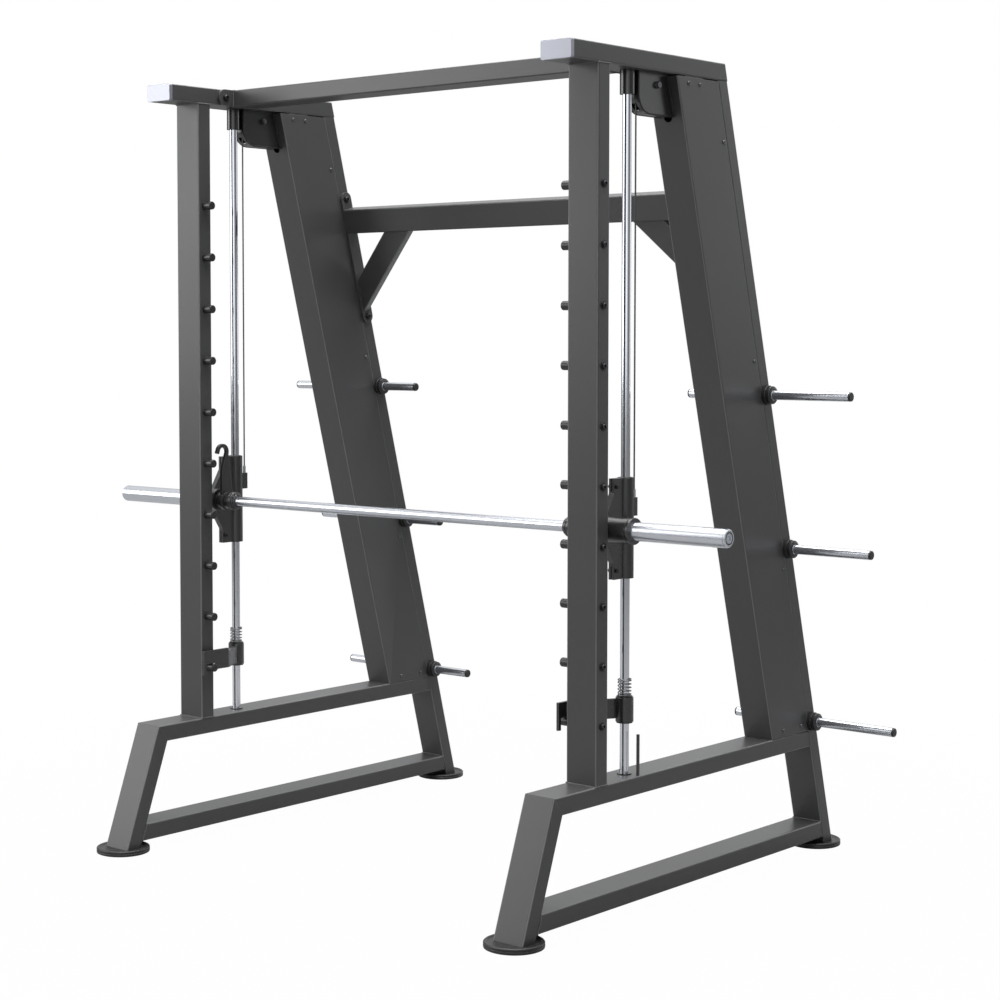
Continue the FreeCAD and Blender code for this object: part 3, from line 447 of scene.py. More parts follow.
bead_tree, bead_in, bead_end = new_tree("laid_weld", [
    ("Bead Radius", "NodeSocketFloat", BEAD), ("Ripple Pitch", "NodeSocketFloat", 0.003),
    ("Seed", "NodeSocketInt", 3), ("Finish", "NodeSocketMaterial", None)])
ripples = bead_tree.nodes.new("GeometryNodeCurveToPoints")
ripples.mode = "LENGTH"
ripple = bead_tree.nodes.new("GeometryNodeMeshUVSphere")
ripple.inputs["Segments"].default_value = 8
ripple.inputs["Rings"].default_value = 5
uneven = bead_tree.nodes.new("FunctionNodeRandomValue")
uneven.data_type = "FLOAT_VECTOR"
uneven.inputs["Min"].default_value = (0.85, 0.85, 0.8)
uneven.inputs["Max"].default_value = (1.15, 1.15, 1.0)
laid = bead_tree.nodes.new("GeometryNodeInstanceOnPoints")
bead_tree.links.new(bead_in.outputs["Geometry"], ripples.inputs["Curve"])
bead_tree.links.new(bead_in.outputs["Ripple Pitch"], ripples.inputs["Length"])
bead_tree.links.new(bead_in.outputs["Bead Radius"], ripple.inputs["Radius"])
bead_tree.links.new(bead_in.outputs["Seed"], uneven.inputs["Seed"])
bead_tree.links.new(ripples.outputs["Points"], laid.inputs["Points"])
bead_tree.links.new(ripples.outputs["Rotation"], laid.inputs["Rotation"])
bead_tree.links.new(ripple.outputs["Mesh"], laid.inputs["Instance"])
bead_tree.links.new(uneven.outputs["Value"], laid.inputs["Scale"])
close_tree(bead_tree, bead_in, bead_end, laid.outputs["Instances"])


def seam(low_x, high_x, front, back):
    """A loop round a tube's end: front and back are (y, z) where it meets the next tube."""
    return [(low_x, front[0], front[1]), (high_x, front[0], front[1]),
            (high_x, back[0], back[1]), (low_x, back[0], back[1])]


seams = []
for low, high in solids_of("front_uprights"):
    for z in (low.z, high.z):
        seams.append(seam(low.x, high.x, (low.y, z), (high.y, z)))
for low, high in solids_of("base_bottom_rails"):
    deep = high.z - low.z
    ahead = deep * math.tan(LEG_LEAN)
    behind = deep * math.tan(LEAN)
    seams.append(seam(low.x, high.x, (low.y, low.z), (low.y + ahead, high.z)))
    seams.append(seam(low.x, high.x, (high.y, low.z), (high.y - behind, high.z)))
for low, high in solids_of("base_top_rails"):
    behind = (high.z - low.z) * math.tan(LEAN)
    seams.append(seam(low.x, high.x, (high.y, low.z), (high.y - behind, high.z)))
for low, high in solids_of("top_crossbeam"):
    for x in (low.x, high.x):
        seams.append([(x, low.y, low.z), (x, high.y, low.z), (x, high.y, high.z), (x, low.y, high.z)])
welds = grown("weld_beads", line_of("weld_lines", seams, True), bead_tree, Finish=charcoal)
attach(welds, "frame")

# ---------------------------------------------------------------- crossbeams, plates and braces
# The same tube between cut steel plates with round ends, which bolt to the side frames with
# black button-head bolts on washers.
for name in ("top_crossbeam", "rear_crossbeam", "rear_braces", "joint_plates"):
    finish_node(name, charcoal)

polish_group, polish_in, polish_out = new_group(
    "polishing_marks",
    [("Vector", "NodeSocketVector", None), ("Fineness", "NodeSocketFloat", 260.0)],
    [("Height", "NodeSocketFloat"), ("Roughness", "NodeSocketFloat")])
drawn = polish_group.nodes.new("ShaderNodeTexNoise")
drawn.inputs["Detail"].default_value = 3.0
polish_group.links.new(polish_in.outputs["Vector"], drawn.inputs["Vector"])
polish_group.links.new(polish_in.outputs["Fineness"], drawn.inputs["Scale"])
handled = polish_group.nodes.new("ShaderNodeTexNoise")
handled.inputs["Scale"].default_value = 9.0
handled.inputs["Detail"].default_value = 4.0
polish_group.links.new(polish_in.outputs["Vector"], handled.inputs["Vector"])
haze = math_node(polish_group, "MULTIPLY_ADD", handled.outputs["Fac"], 0.08, -0.04)
polish_group.links.new(drawn.outputs["Fac"], polish_out.inputs["Height"])
polish_group.links.new(haze, polish_out.inputs["Roughness"])


def bright(name, colour, roughness, fineness=260.0, stretch=(1, 1, 1), depth=0.00002, reach=0.001):
    """Bare or plated metal with marks drawn out along the piece."""
    material = bpy.data.materials.new(name)
    material.use_nodes = True
    tree = material.node_tree
    base = tree.nodes["Principled BSDF"]
    base.inputs["Metallic"].default_value = 1.0
    at = tree.nodes.new("ShaderNodeTexCoord")
    drawn_out = tree.nodes.new("ShaderNodeMapping")
    drawn_out.inputs["Scale"].default_value = stretch
    marks = placed(material, polish_group, Fineness=fineness)
    edges = placed(material, edge_group, Reach=reach)
    tree.links.new(at.outputs["Object"], drawn_out.inputs["Vector"])
    tree.links.new(drawn_out.outputs["Vector"], marks.inputs["Vector"])
    tree.links.new(at.outputs["Object"], edges.inputs["Vector"])
    toned = tree.nodes.new("ShaderNodeMix")
    toned.data_type = "RGBA"
    toned.inputs[6].default_value = (*[c * 0.94 for c in colour], 1)
    toned.inputs[7].default_value = (*colour, 1)
    tree.links.new(marks.outputs["Height"], toned.inputs["Factor"])
    tree.links.new(toned.outputs[2], base.inputs["Base Color"])
    tree.links.new(math_node(tree, "ADD", marks.outputs["Roughness"], roughness), base.inputs["Roughness"])
    if depth:
        bump = tree.nodes.new("ShaderNodeBump")
        bump.inputs["Strength"].default_value = 0.3
        bump.inputs["Distance"].default_value = depth
        tree.links.new(marks.outputs["Height"], bump.inputs["Height"])
        tree.links.new(edges.outputs["Normal"], bump.inputs["Normal"])
        tree.links.new(bump.outputs["Normal"], base.inputs["Normal"])
    return material



black_zinc = bright("black_zinc", (0.055, 0.055, 0.058), 0.34, fineness=500)
zinc = bright("zinc_plate", (0.42, 0.43, 0.45), 0.34, fineness=500)
dull_zinc = bright("dull_zinc", (0.15, 0.152, 0.158), 0.4, fineness=500)


def turned(name, profile, facets=32):
    """A mesh turned about Z. A profile point is (radius, height), or (radius, height, 6) where the
    ring is a hexagon. The profile runs so that faces point outwards, and may close on itself."""
    shape = bmesh.new()
    rings = []
    loop = profile[0] == profile[-1]
    for point in profile[:-1] if loop else profile:
        radius, height = point[:2]
        if radius == 0:
            rings.append([shape.verts.new((0, 0, height))])
            continue
        ring = []
        for k in range(facets):
            angle = 2 * math.pi * k / facets
            reach = radius
            if len(point) == 3:
                reach = radius * math.cos(math.pi / 6) / math.cos(angle % (math.pi / 3) - math.pi / 6)
            ring.append(shape.verts.new((reach * math.cos(angle), reach * math.sin(angle), height)))
        rings.append(ring)
    pairs = list(zip(rings, rings[1:]))
    if loop:
        pairs.append((rings[-1], rings[0]))
    for one, two in pairs:
        for k in range(facets):
            n = (k + 1) % facets
            if len(one) == 1:
                shape.faces.new((one[0], two[n], two[k]))
            elif len(two) == 1:
                shape.faces.new((one[k], one[n], two[0]))
            else:
                shape.faces.new((one[k], one[n], two[n], two[k]))
    bmesh.ops.recalc_face_normals(shape, faces=shape.faces)
    mesh = bpy.data.meshes.new(name)
    shape.to_mesh(mesh)
    shape.free()
    made = bpy.data.objects.new(name, mesh)
    scene.collection.objects.link(made)
    return made


# one tree sets a part out at marked places, each with its own facing and a chance turn
set_tree, set_in, set_end = new_tree("set_out", [
    ("Part", "NodeSocketObject", None), ("Chance Turn", "NodeSocketFloat", 0.0),
    ("Seed", "NodeSocketInt", 5), ("Finish", "NodeSocketMaterial", None)])
part_info = set_tree.nodes.new("GeometryNodeObjectInfo")
facing = set_tree.nodes.new("GeometryNodeInputNamedAttribute")
facing.data_type = "FLOAT_VECTOR"
facing.inputs["Name"].default_value = "facing"
aligned = set_tree.nodes.new("FunctionNodeAlignRotationToVector")
aligned.axis = "Z"
chance = set_tree.nodes.new("FunctionNodeRandomValue")
chance.data_type = "FLOAT"
about = set_tree.nodes.new("ShaderNodeCombineXYZ")
spun = set_tree.nodes.new("FunctionNodeRotateRotation")
spun.rotation_space = "LOCAL"
placed_parts = set_tree.nodes.new("GeometryNodeInstanceOnPoints")
set_tree.links.new(set_in.outputs["Part"], part_info.inputs["Object"])
set_tree.links.new(facing.outputs["Attribute"], aligned.inputs["Vector"])
set_tree.links.new(set_in.outputs["Chance Turn"], chance.inputs[3])
set_tree.links.new(set_in.outputs["Seed"], chance.inputs["Seed"])
set_tree.links.new(chance.outputs[1], about.inputs["Z"])
set_tree.links.new(aligned.outputs["Rotation"], spun.inputs["Rotation"])
set_tree.links.new(about.outputs["Vector"], spun.inputs["Rotate By"])
set_tree.links.new(set_in.outputs["Geometry"], placed_parts.inputs["Points"])
set_tree.links.new(part_info.outputs["Geometry"], placed_parts.inputs["Instance"])
set_tree.links.new(spun.outputs["Rotation"], placed_parts.inputs["Rotation"])
close_tree(set_tree, set_in, set_end, placed_parts.outputs["Instances"])


def set_out(name, part, spots, finish, chance_turn=0.0, sharp=30):
    """Copies of a turned part at (place, facing) spots, joined into one mesh."""
    mesh = bpy.data.meshes.new(name + "_spots")
    mesh.from_pydata([tuple(place) for place, _ in spots], [], [])
    ways = mesh.attributes.new("facing", "FLOAT_VECTOR", "POINT")
    for slot_of, (_, way) in zip(ways.data, spots):
        slot_of.vector = way
    source = bpy.data.objects.new(name + "_spots", mesh)
    scene.collection.objects.link(source)
    made = grown(name, source, set_tree, sharp=sharp, Part=part, Chance_Turn=chance_turn, Finish=finish)
    bpy.data.objects.remove(part)
    return made


def button_screw(name, shank, length, head, height, washer=0.0):
    """A button-head socket screw standing on its seat at z = 0, shank downwards."""
    rise = 0.002 if washer else 0.0
    key = head * 0.5
    profile = [(0, -length), (shank * 0.8, -length), (shank, -length + shank * 0.2), (shank, 0)]
    if washer:
        profile += [(washer - 0.0004, 0), (washer, 0.0004), (washer, rise - 0.0004), (washer - 0.0004, rise)]
    profile += [(head, rise), (head, rise + height * 0.25)]
    for k in range(1, 6):
        turn_by = k / 5 * math.radians(80)
        profile.append((key * 1.25 + (head - key * 1.25) * math.cos(turn_by),
                        rise + height * (0.25 + 0.75 * math.sin(turn_by) / math.sin(math.radians(80)))))
    top = rise + height
    profile += [(key * 1.02, top, 6), (key * 0.95, top - 0.0003, 6), (key * 0.95, top - height * 0.6, 6),
                (0, top - height * 0.65)]
    return turned(name, profile, 24)


bolt_spots = []
for low, high in solids_of("frame_bolts"):
    middle = (low + high) / 2
    out = -math.copysign(1, middle.x)
    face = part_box("joint_plates")[1].x - 0.008
    bolt_spots.append(((-out * face, middle.y, middle.z), (out, 0, 0)))
bolts = set_out("crossbeam_bolts", button_screw("bolt", 0.006, 0.023, 0.009, 0.006, 0.012),
                bolt_spots, black_zinc, 6.0)
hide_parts("frame_bolts")
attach(bolts, "frame")

# ---------------------------------------------------------------- beam end caps
# Moulded plugs with a silver-grey face, pressed into the open front ends of the top beams.
silver = coated("silver_face", (0.38, 0.39, 0.44), (0.6, 0.61, 0.62), 0.3, 900, 0.00005, 0.0015, metallic=0.5)
finish_node("beam_end_caps", silver)

# ---------------------------------------------------------------- rear closing plates
# Cut steel plates let into the slanting rear ends of the top beams, welded, ground flush and
# coated with the frame.
plate_play = 0.0002
plate_thick = 0.004
plate_sunk = 0.0008
tube_wall = 0.003
plate_inset = tube_wall + plate_play
plate_mesh = bpy.data.meshes.new("rear_closing_plates")
plate_points = []
plate_faces = []
for low, high in solids_of("top_beams"):
    start = len(plate_points)
    for ahead in (plate_sunk, plate_sunk + plate_thick):
        for x, z in ((low.x + plate_inset, low.z + plate_inset), (high.x - plate_inset, low.z + plate_inset),
                     (high.x - plate_inset, high.z - plate_inset),
                     (low.x + plate_inset, high.z - plate_inset)):
            plate_points.append((x, high.y - ahead - (z - low.z) * math.tan(LEAN), z))
    plate_faces += [[start + k for k in face] for face in (
        (3, 2, 1, 0), (4, 5, 6, 7), (0, 1, 5, 4), (1, 2, 6, 5), (2, 3, 7, 6), (3, 0, 4, 7))]
plate_mesh.from_pydata(plate_points, [], plate_faces)
plate_shape = bmesh.new()
plate_shape.from_mesh(plate_mesh)
bmesh.ops.recalc_face_normals(plate_shape, faces=plate_shape.faces)
plate_shape.to_mesh(plate_mesh)
plate_shape.free()
plate_mesh.materials.append(charcoal)
plates = bpy.data.objects.new("rear_closing_plates", plate_mesh)
scene.collection.objects.link(plates)
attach(plates, "frame")

# ---------------------------------------------------------------- foot cups
# Moulded black rubber cups with a rounded rim and a ribbed outside, pushed on under the legs.
rubber = coated("moulded_rubber", (0.022, 0.022, 0.023), (0.05, 0.05, 0.05), 0.46, 700, 0.0002, 0.002)
cups = solids_of("foot_pads")
cup_radius = (cups[0][1].x - cups[0][0].x) / 2
cup_height = cups[0][1].z
cup_floor = 0.013
cup_round = 0.0045
cup_profile = [(0, 0.0), (cup_radius * 0.8, 0.0), (cup_radius - 0.003, 0.0), (cup_radius - 0.0008, 0.001),
               (cup_radius, 0.004), (cup_radius, 0.007), (cup_radius - 0.0012, 0.0085),
               (cup_radius - 0.0012, 0.0105), (cup_radius, 0.012)]
for k in range(6):
    turn_by = math.pi * k / 8
    cup_profile.append((cup_radius - cup_round * (1 - math.cos(turn_by)),
                        cup_height - cup_round * (1 - math.sin(turn_by))))
cup_profile += [(cup_radius - 0.0085, cup_height - 0.0015), (cup_radius - 0.0105, cup_floor + 0.0006),
                (cup_radius - 0.0125, cup_floor), (0, cup_floor)]
feet = set_out("foot_cups", turned("cup", cup_profile, 72),
               [(((low.x + high.x) / 2, (low.y + high.y) / 2, 0), (0, 0, 1)) for low, high in cups], rubber)
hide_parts("foot_pads")
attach(feet, "frame")

# ---------------------------------------------------------------- guide rods and their holders
# Ground and hard-chromed steel rods, held in a black socket under each top beam and stood on
# a black washer on the base rail.
upright_chrome = bright("upright_chrome", (0.76, 0.78, 0.83), 0.12, stretch=(1, 1, 0.02), depth=0.0)
finish_node("guide_rods", upright_chrome)
# Black powder: its edges are made much lighter, partly as wear and partly as a painted highlight.
black = coated("black_powder", (0.018, 0.018, 0.019), (0.14, 0.14, 0.145), 0.27, 500, 0.0001, 0.0015, wear_and_highlight=0.8,
               glint=1.0)
finish_node("rod_holders", black)
finish_node("base_pin", black)
rods = solids_of("guide_rods")
side = (rods[1][0].x + rods[1][1].x) / 2
rod_y = (rods[1][0].y + rods[1][1].y) / 2

# ---------------------------------------------------------------- lock pegs
# Steel pegs with rounded ends up the inner face of each upright, each drawn in by a
# button-head bolt that passes through the tube from outside.
peg_steel = coated("black_pegs", (0.03, 0.03, 0.032), (0.16, 0.16, 0.165), 0.3, 600, 0.0001, 0.0015)
finish_node("lock_pegs", peg_steel)
peg_spots = []
outer_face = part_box("front_uprights")[1].x
for low, high in solids_of("lock_peg_bolts"):
    out = math.copysign(1, low.x)
    peg_spots.append(((out * outer_face, (low.y + high.y) / 2, (low.z + high.z) / 2), (out, 0, 0)))
peg_bolts = set_out("peg_bolts", button_screw("bolt", 0.005, 0.12, 0.008, 0.006, 0.012),
                    peg_spots, black_zinc, 6.0)
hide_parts("lock_peg_bolts")
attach(peg_bolts, "frame")

# ---------------------------------------------------------------- column covers
# Two-millimetre steel sheet, folded to a U round each weight column and coated with the
# frame; small pan screws hold it to tabs welded inside. A fine joint is left along the post and
# a gap under the top beam.
for name in ("column_covers", "cover_tabs"):
    finish_node(name, charcoal)
COVER_JOINT = 0.0012
COVER_GAP = 0.003
sheet = nodes["column_covers"].data.copy()
merged = bmesh.new()
merged.from_mesh(sheet)
bmesh.ops.remove_doubles(merged, verts=merged.verts, dist=1e-6)
merged.to_mesh(sheet)
merged.free()
for side_face in sheet.polygons:
    side_face.use_smooth = True
sheet.set_sharp_from_angle(angle=math.radians(25))
covers = bpy.data.objects.new("cover_sheets", sheet)
scene.collection.objects.link(covers)
back_line = max(corner.co.y * math.cos(LEAN) + corner.co.z * math.sin(LEAN) for corner in sheet.vertices)
sheet_top = max(corner.co.z for corner in sheet.vertices)
for corner in sheet.vertices:
    if corner.co.y * math.cos(LEAN) + corner.co.z * math.sin(LEAN) > back_line - 0.0005:
        corner.co.y -= COVER_JOINT * math.cos(LEAN)
        corner.co.z -= COVER_JOINT * math.sin(LEAN)
    if corner.co.z > sheet_top - 0.0015:
        corner.co.z -= COVER_GAP
        corner.co.y += COVER_GAP * math.tan(LEAN)
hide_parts("column_covers")
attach(covers, "frame")
screw_spots = []
for low, high in solids_of("cover_screws"):
    middle = (low + high) / 2
    column = math.copysign(side, middle.x)
    out = math.copysign(1, middle.x - column)
    screw_spots.append(((column + out * 0.05, middle.y, middle.z), (out, 0, 0)))
cover_screws = set_out("cover_pan_screws", button_screw("screw", 0.003, 0.009, 0.006, 0.003),
                       screw_spots, dull_zinc, 6.0)
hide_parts("cover_screws")
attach(cover_screws, "frame")

# ---------------------------------------------------------------- pulleys, guards and brackets
# Nylon wheels on steel axles: a large one in a black sheet guard under each top beam, and a
# small one on two hanging plates inside the column.
nylon = coated("black_nylon", (0.02, 0.02, 0.021), (0.06, 0.06, 0.06), 0.42, 900, 0.0001, 0.001)
for name in ("pulley_guards", "rear_pulley_brackets"):
    finish_node(name, black)
for name in ("front_pulley_right", "front_pulley_left", "rear_pulley_right", "rear_pulley_left"):
    finish_node(name, nylon)
finish_node("pulley_axles", dull_zinc)

# ---------------------------------------------------------------- lift cables
# Wire rope of six strands laid round a core: up from the carriage, over both wheels and down
# the column to the counterweight.
rope_wire = bright("rope_wire", (0.1, 0.102, 0.108), 0.4, fineness=900)
rope_tree, rope_in, rope_end = new_tree("laid_rope", [
    ("Rope Radius", "NodeSocketFloat", 0.0025), ("Groove Radius", "NodeSocketFloat", 0.002),
    ("Lay Length", "NodeSocketFloat", 0.03), ("Step", "NodeSocketFloat", 0.004),
    ("Finish", "NodeSocketMaterial", None)])
even = rope_tree.nodes.new("GeometryNodeResampleCurve")
even.mode = "LENGTH"
along = rope_tree.nodes.new("GeometryNodeSplineParameter")
turns = rope_tree.nodes.new("ShaderNodeMath")
turns.operation = "DIVIDE"
twist = rope_tree.nodes.new("ShaderNodeMath")
twist.operation = "MULTIPLY"
twist.inputs[1].default_value = 2 * math.pi
laid_round = rope_tree.nodes.new("GeometryNodeSetCurveTilt")
lobes = rope_tree.nodes.new("GeometryNodeCurveStar")
lobes.inputs["Points"].default_value = 6
swept = rope_tree.nodes.new("GeometryNodeCurveToMesh")
swept.inputs["Fill Caps"].default_value = True
rope_tree.links.new(rope_in.outputs["Geometry"], even.inputs["Curve"])
rope_tree.links.new(rope_in.outputs["Step"], even.inputs["Length"])
rope_tree.links.new(along.outputs["Length"], turns.inputs[0])
rope_tree.links.new(rope_in.outputs["Lay Length"], turns.inputs[1])
rope_tree.links.new(turns.outputs[0], twist.inputs[0])
rope_tree.links.new(even.outputs["Curve"], laid_round.inputs["Curve"])
rope_tree.links.new(twist.outputs[0], laid_round.inputs["Tilt"])
rope_tree.links.new(rope_in.outputs["Rope Radius"], lobes.inputs["Outer Radius"])
rope_tree.links.new(rope_in.outputs["Groove Radius"], lobes.inputs["Inner Radius"])
rope_tree.links.new(laid_round.outputs["Curve"], swept.inputs["Curve"])
rope_tree.links.new(lobes.outputs["Curve"], swept.inputs["Profile Curve"])
close_tree(rope_tree, rope_in, rope_end, swept.outputs["Mesh"])

front_runs = solids_of("cable_front_runs")
run_lines = []
for low, high in front_runs:
    x = (low.x + high.x) / 2
    y = (low.y + high.y) / 2
    run_lines.append([(x, y, low.z), (x, y, high.z)])
front_ropes = grown("front_ropes", line_of("rope_lines", run_lines, False), rope_tree, Finish=rope_wire)
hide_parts("cable_front_runs")
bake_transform(front_ropes)

WHEEL = 0.070
REAR_WHEEL = 0.036
joint_at = {joint["name"]: Vector(joint["pos_m"]) for joint in frame["joints"] if "pos_m" in joint}
over_lines = []
for hand in ("left", "right"):
    front = joint_at["front_pulley_turn_" + hand]
    rear = joint_at["rear_pulley_turn_" + hand]
    gap = rear - front
    leave = math.atan2(gap.z, gap.y) + math.acos((WHEEL - REAR_WHEEL) / math.hypot(gap.y, gap.z))
    line = []
    for k in range(25):
        angle = math.pi + (leave - math.pi) * k / 24
        line.append((front.x, front.y + WHEEL * math.cos(angle), front.z + WHEEL * math.sin(angle)))
    for k in range(13):
        angle = leave + (LEAN - leave) * k / 12
        line.append((rear.x, rear.y + REAR_WHEEL * math.cos(angle), rear.z + REAR_WHEEL * math.sin(angle)))
    over_lines.append(line)
over_ropes = grown("ropes_over_pulleys", line_of("over_lines", over_lines, False), rope_tree,
                   Finish=rope_wire)
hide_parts("cable_over_pulleys")
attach(over_ropes, "frame")

# ---------------------------------------------------------------- guard trims, partly painted gap shade
# A black rubber bead pressed over the cut edges of each guard, down its curved front, along its lower edge
# and up beside the column. The run up beside the column also stands as a dark strip of painted shade for the
# gap between guard and cover.
guard_mesh = nodes["pulley_guards"].data
guard_low, guard_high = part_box("pulley_guards")
guard_runs = []
GUARD_ROUND = 0.052
TRIM_SET_IN = 0.001
GUARD_FACE = 0.0199
rear_foot = max(c.co.y for c in guard_mesh.vertices if c.co.z < guard_low.z + 0.001)
rear_head = max(c.co.y for c in guard_mesh.vertices if c.co.z > guard_high.z - 0.001)
for hand in (-1, 1):
    for face in (-GUARD_FACE, GUARD_FACE):
        x = hand * side + face
        run = [(x, rear_head, guard_high.z - 0.003), (x, rear_foot + 0.0015, guard_low.z + 0.001)]
        for k in range(13):
            turn_by = math.pi / 2 * k / 12
            run.append((x, guard_low.y + GUARD_ROUND * (1 - math.sin(turn_by)) + TRIM_SET_IN,
                        guard_low.z + GUARD_ROUND * (1 - math.cos(turn_by)) + TRIM_SET_IN))
        run.append((x, guard_low.y + TRIM_SET_IN, guard_high.z - 0.003))
        guard_runs.append(run)
trims_and_gap_shade = grown("guard_trims", line_of("guard_edges", guard_runs, False), rope_tree, Rope_Radius=0.0024,
              Groove_Radius=0.0022, Lay_Length=40.0, Finish=rubber)
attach(trims_and_gap_shade, "frame")

# ---------------------------------------------------------------- carriages
# Cast and coated steel: a tube with a linear bearing at each end, a web with split clamp lugs
# and a cross housing that carries the bar in bronze bushes.
for name in ("carriage_right", "carriage_left"):
    finish_node(name, black)
for name in ("carriage_bearings", "cable_anchors"):
    finish_node(name, zinc)
finish_node("carriage_screws", black_zinc)
bronze = bright("sintered_bronze", (0.5, 0.33, 0.16), 0.4)
finish_node("bar_bushes", bronze)
seal_spots = []
lip_spots = []
for name in ("carriage_left", "carriage_right"):
    low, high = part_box(name)
    seal_spots.append(((math.copysign(side, low.x), rod_y, high.z), (0, 0, 1)))
    lip_spots.append(((math.copysign(side, low.x), rod_y, low.z), (0, 0, -1)))
seal_profile = [(0.0131, -0.0008), (0.0198, -0.0008), (0.0198, 0.0004), (0.0192, 0.001), (0.0158, 0.001),
                (0.0142, 0.0018), (0.0131, 0.0016), (0.0131, -0.0008)]
seals = set_out("bearing_seals", turned("seal", seal_profile, 40), seal_spots, nylon)
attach(seals, "carriages")
lip_profile = [(0.0131, -0.0008), (0.0138, -0.0008), (0.0138, 0.001), (0.0135, 0.0014), (0.0131, 0.0014),
               (0.0131, -0.0008)]
lips = set_out("seal_lips", turned("lip", lip_profile, 40), lip_spots, nylon)
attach(lips, "carriages")

# ---------------------------------------------------------------- bar
# Hard-chromed bar with larger plate sleeves pressed on its ends, black stop collars, and a
# lock hook clamped on each side that drops over the pegs when the bar is turned.
lying_chrome = bright("lying_chrome", (0.68, 0.705, 0.755), 0.25, stretch=(0.02, 1, 1), depth=0.0)
for name in ("bar_shaft", "bar_sleeves", "sleeve_end_plugs"):
    finish_node(name, lying_chrome)
finish_node("bar_collars", black)
finish_node("lock_hooks", black)
hub_profile = [(0.0255, -0.016), (0.0282, -0.0155), (0.0282, -0.0108), (0.0268, -0.0104), (0.0268, -0.0072),
               (0.0282, -0.0068), (0.0282, -0.0022), (0.0272, -0.0012), (0.0246, -0.0008), (0.0246, 0.0036),
               (0.0238, 0.0042), (0.0206, 0.0044), (0.0206, 0.0078), (0.0198, 0.0086), (0.0155, 0.0086),
               (0.0155, -0.0004), (0.0255, -0.0004), (0.0255, -0.016)]
shaft_low, shaft_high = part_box("bar_shaft")
bar_y = (shaft_low.y + shaft_high.y) / 2
bar_z = (shaft_low.z + shaft_high.z) / 2
hub_end = min(abs(c.co.x) for c in nodes["lock_hooks"].data.vertices)
hub_rings = set_out("hub_rings", turned("rings", hub_profile, 48),
                    [((out * hub_end, bar_y, bar_z), (-out, 0, 0)) for out in (-1, 1)], black)
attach(hub_rings, "bar")
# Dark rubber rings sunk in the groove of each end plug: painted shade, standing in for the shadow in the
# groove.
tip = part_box("sleeve_end_plugs")[1].x
groove_shade_profile = [(0.0137, -0.0019), (0.0169, -0.0019), (0.0169, -0.0006), (0.0163, -0.0002), (0.0143, -0.0002),
                (0.0137, -0.0006), (0.0137, -0.0019)]
plug_rings = set_out("plug_rings", turned("rings", groove_shade_profile, 48),
                     [((out * tip, bar_y, bar_z), (out, 0, 0)) for out in (-1, 1)], rubber)
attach(plug_rings, "bar")

# ---------------------------------------------------------------- safety stops
# A black sleeve with a slanting hooked arm, on a flanged nylon bush; on top sits a wound
# steel spring with closed ends that takes the carriage.
for name in ("stop_arm_right", "stop_arm_left"):
    finish_node(name, black)
for name in ("stop_bush_right", "stop_bush_left"):
    finish_node(name, nylon)
spring_steel = bright("spring_steel", (0.2, 0.2, 0.205), 0.3, fineness=600)
coil_tree, coil_in, coil_end = new_tree("wound_spring", [
    ("Wire Radius", "NodeSocketFloat", 0.00175), ("Coil Radius", "NodeSocketFloat", 0.0175),
    ("Height", "NodeSocketFloat", 0.04), ("Turns", "NodeSocketFloat", 5.0),
    ("Closed Pitch", "NodeSocketFloat", 0.0036), ("Finish", "NodeSocketMaterial", None)])
wire = coil_tree.nodes.new("GeometryNodeCurvePrimitiveCircle")
wire.inputs["Resolution"].default_value = 10
coil_tree.links.new(coil_in.outputs["Wire Radius"], wire.inputs["Radius"])
joined_coils = coil_tree.nodes.new("GeometryNodeJoinGeometry")
for part in ("foot", "middle", "head"):
    spiral = coil_tree.nodes.new("GeometryNodeCurveSpiral")
    spiral.inputs["Resolution"].default_value = 36
    coil_tree.links.new(coil_in.outputs["Coil Radius"], spiral.inputs["Start Radius"])
    coil_tree.links.new(coil_in.outputs["Coil Radius"], spiral.inputs["End Radius"])
    lifted = coil_tree.nodes.new("ShaderNodeCombineXYZ")
    if part == "middle":
        coil_tree.links.new(coil_in.outputs["Turns"], spiral.inputs["Rotations"])
        coil_tree.links.new(coil_in.outputs["Height"], spiral.inputs["Height"])
        coil_tree.links.new(coil_in.outputs["Closed Pitch"], lifted.inputs["Z"])
    else:
        spiral.inputs["Rotations"].default_value = 1.0
        coil_tree.links.new(coil_in.outputs["Closed Pitch"], spiral.inputs["Height"])
    if part == "head":
        summed = coil_tree.nodes.new("ShaderNodeMath")
        coil_tree.links.new(coil_in.outputs["Height"], summed.inputs[0])
        coil_tree.links.new(coil_in.outputs["Closed Pitch"], summed.inputs[1])
        coil_tree.links.new(summed.outputs[0], lifted.inputs["Z"])
    wound = coil_tree.nodes.new("GeometryNodeCurveToMesh")
    wound.inputs["Fill Caps"].default_value = True
    moved = coil_tree.nodes.new("GeometryNodeTransform")
    coil_tree.links.new(spiral.outputs["Curve"], wound.inputs["Curve"])
    coil_tree.links.new(wire.outputs["Curve"], wound.inputs["Profile Curve"])
    coil_tree.links.new(wound.outputs["Mesh"], moved.inputs["Geometry"])
    coil_tree.links.new(lifted.outputs["Vector"], moved.inputs["Translation"])
    coil_tree.links.new(moved.outputs["Geometry"], joined_coils.inputs["Geometry"])
close_tree(coil_tree, coil_in, coil_end, joined_coils.outputs["Geometry"])
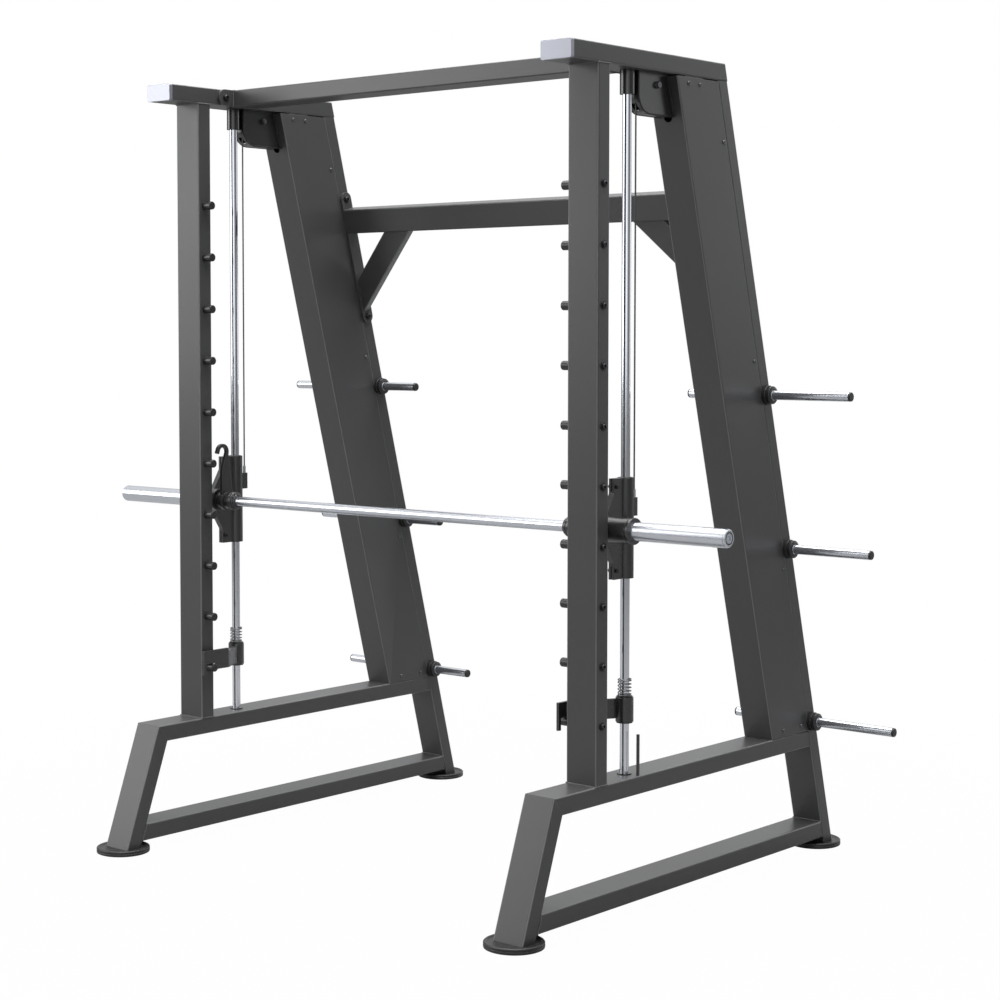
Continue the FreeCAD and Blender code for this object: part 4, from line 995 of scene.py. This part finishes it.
for hand in ("left", "right"):
    low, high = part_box("stop_spring_" + hand)
    source_mesh = bpy.data.meshes.new("spring_place")
    source = bpy.data.objects.new("spring_place", source_mesh)
    scene.collection.objects.link(source)
    closed = 0.0036
    wire_radius = 0.00175
    room = high.z - low.z - 2 * wire_radius - 2 * closed
    spring = grown("spring_" + hand, source, coil_tree, Wire_Radius=wire_radius, Height=room,
                   Turns=4.0, Closed_Pitch=closed, Coil_Radius=(high.x - low.x) / 2 - wire_radius,
                   Finish=spring_steel)
    foot_place = ((low.x + high.x) / 2, (low.y + high.y) / 2, low.z + wire_radius)
    spring.data.transform(Matrix.Translation(foot_place))
    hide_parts("stop_spring_" + hand)
    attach(spring, "stop_" + hand)

# ---------------------------------------------------------------- counterweights
# Sawn steel bars with a nylon guide shoe at each end, hung on a tie rod and a pressed ferrule
# from the rope inside the column.
raw_steel = coated("weight_paint", (0.05, 0.05, 0.052), (0.2, 0.2, 0.2), 0.5, 300, 0.0004, 0.002)
for hand in ("left", "right"):
    finish_node("counterweight_" + hand, raw_steel)
    finish_node("counterweight_shoes_" + hand, nylon)
    finish_node("counterweight_tie_" + hand, zinc)
    low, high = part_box("cable_rear_run_" + hand)
    radius = (high.x - low.x) / 2
    x = (low.x + high.x) / 2
    slim_y = radius * math.cos(LEAN)
    slim_z = radius * math.sin(LEAN)
    foot = (x, high.y - slim_y, low.z + slim_z)
    top = (x, low.y + slim_y, high.z - slim_z)
    rope = grown("rear_rope_" + hand, line_of("rear_line", [[foot, top]], False), rope_tree, Finish=rope_wire)
    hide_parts("cable_rear_run_" + hand)
    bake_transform(rope)

# ---------------------------------------------------------------- storage pegs
# Chromed round pegs on both faces of each leaning post. The outer one's stud passes through the
# tube into the inner one; each has a stepped black boss at its root and a black cap on its end.
finish_node("storage_pegs", lying_chrome)
peg_places = []
for low, high in solids_of("storage_peg_bosses"):
    middle = (low + high) / 2
    column = math.copysign(side, middle.x)
    out = math.copysign(1, middle.x - column)
    root = low.x if out > 0 else high.x
    peg_places.append(((root, middle.y, middle.z), (out, 0, 0)))
bore = 0.01455
boss_profile = [(bore, 0), (0.0274, 0), (0.028, 0.0006), (0.028, 0.0105), (0.0272, 0.0116), (0.0235, 0.012),
                (0.0235, 0.0138), (0.0254, 0.0142), (0.026, 0.015), (0.026, 0.0222), (0.0252, 0.0234),
                (0.0222, 0.0238), (0.0205, 0.0248), (0.0188, 0.026), (bore, 0.026), (bore, 0)]
bosses = set_out("storage_bosses", turned("boss", boss_profile, 48), peg_places, nylon)
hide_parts("storage_peg_bosses")
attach(bosses, "frame")
finish_node("storage_peg_caps", nylon)
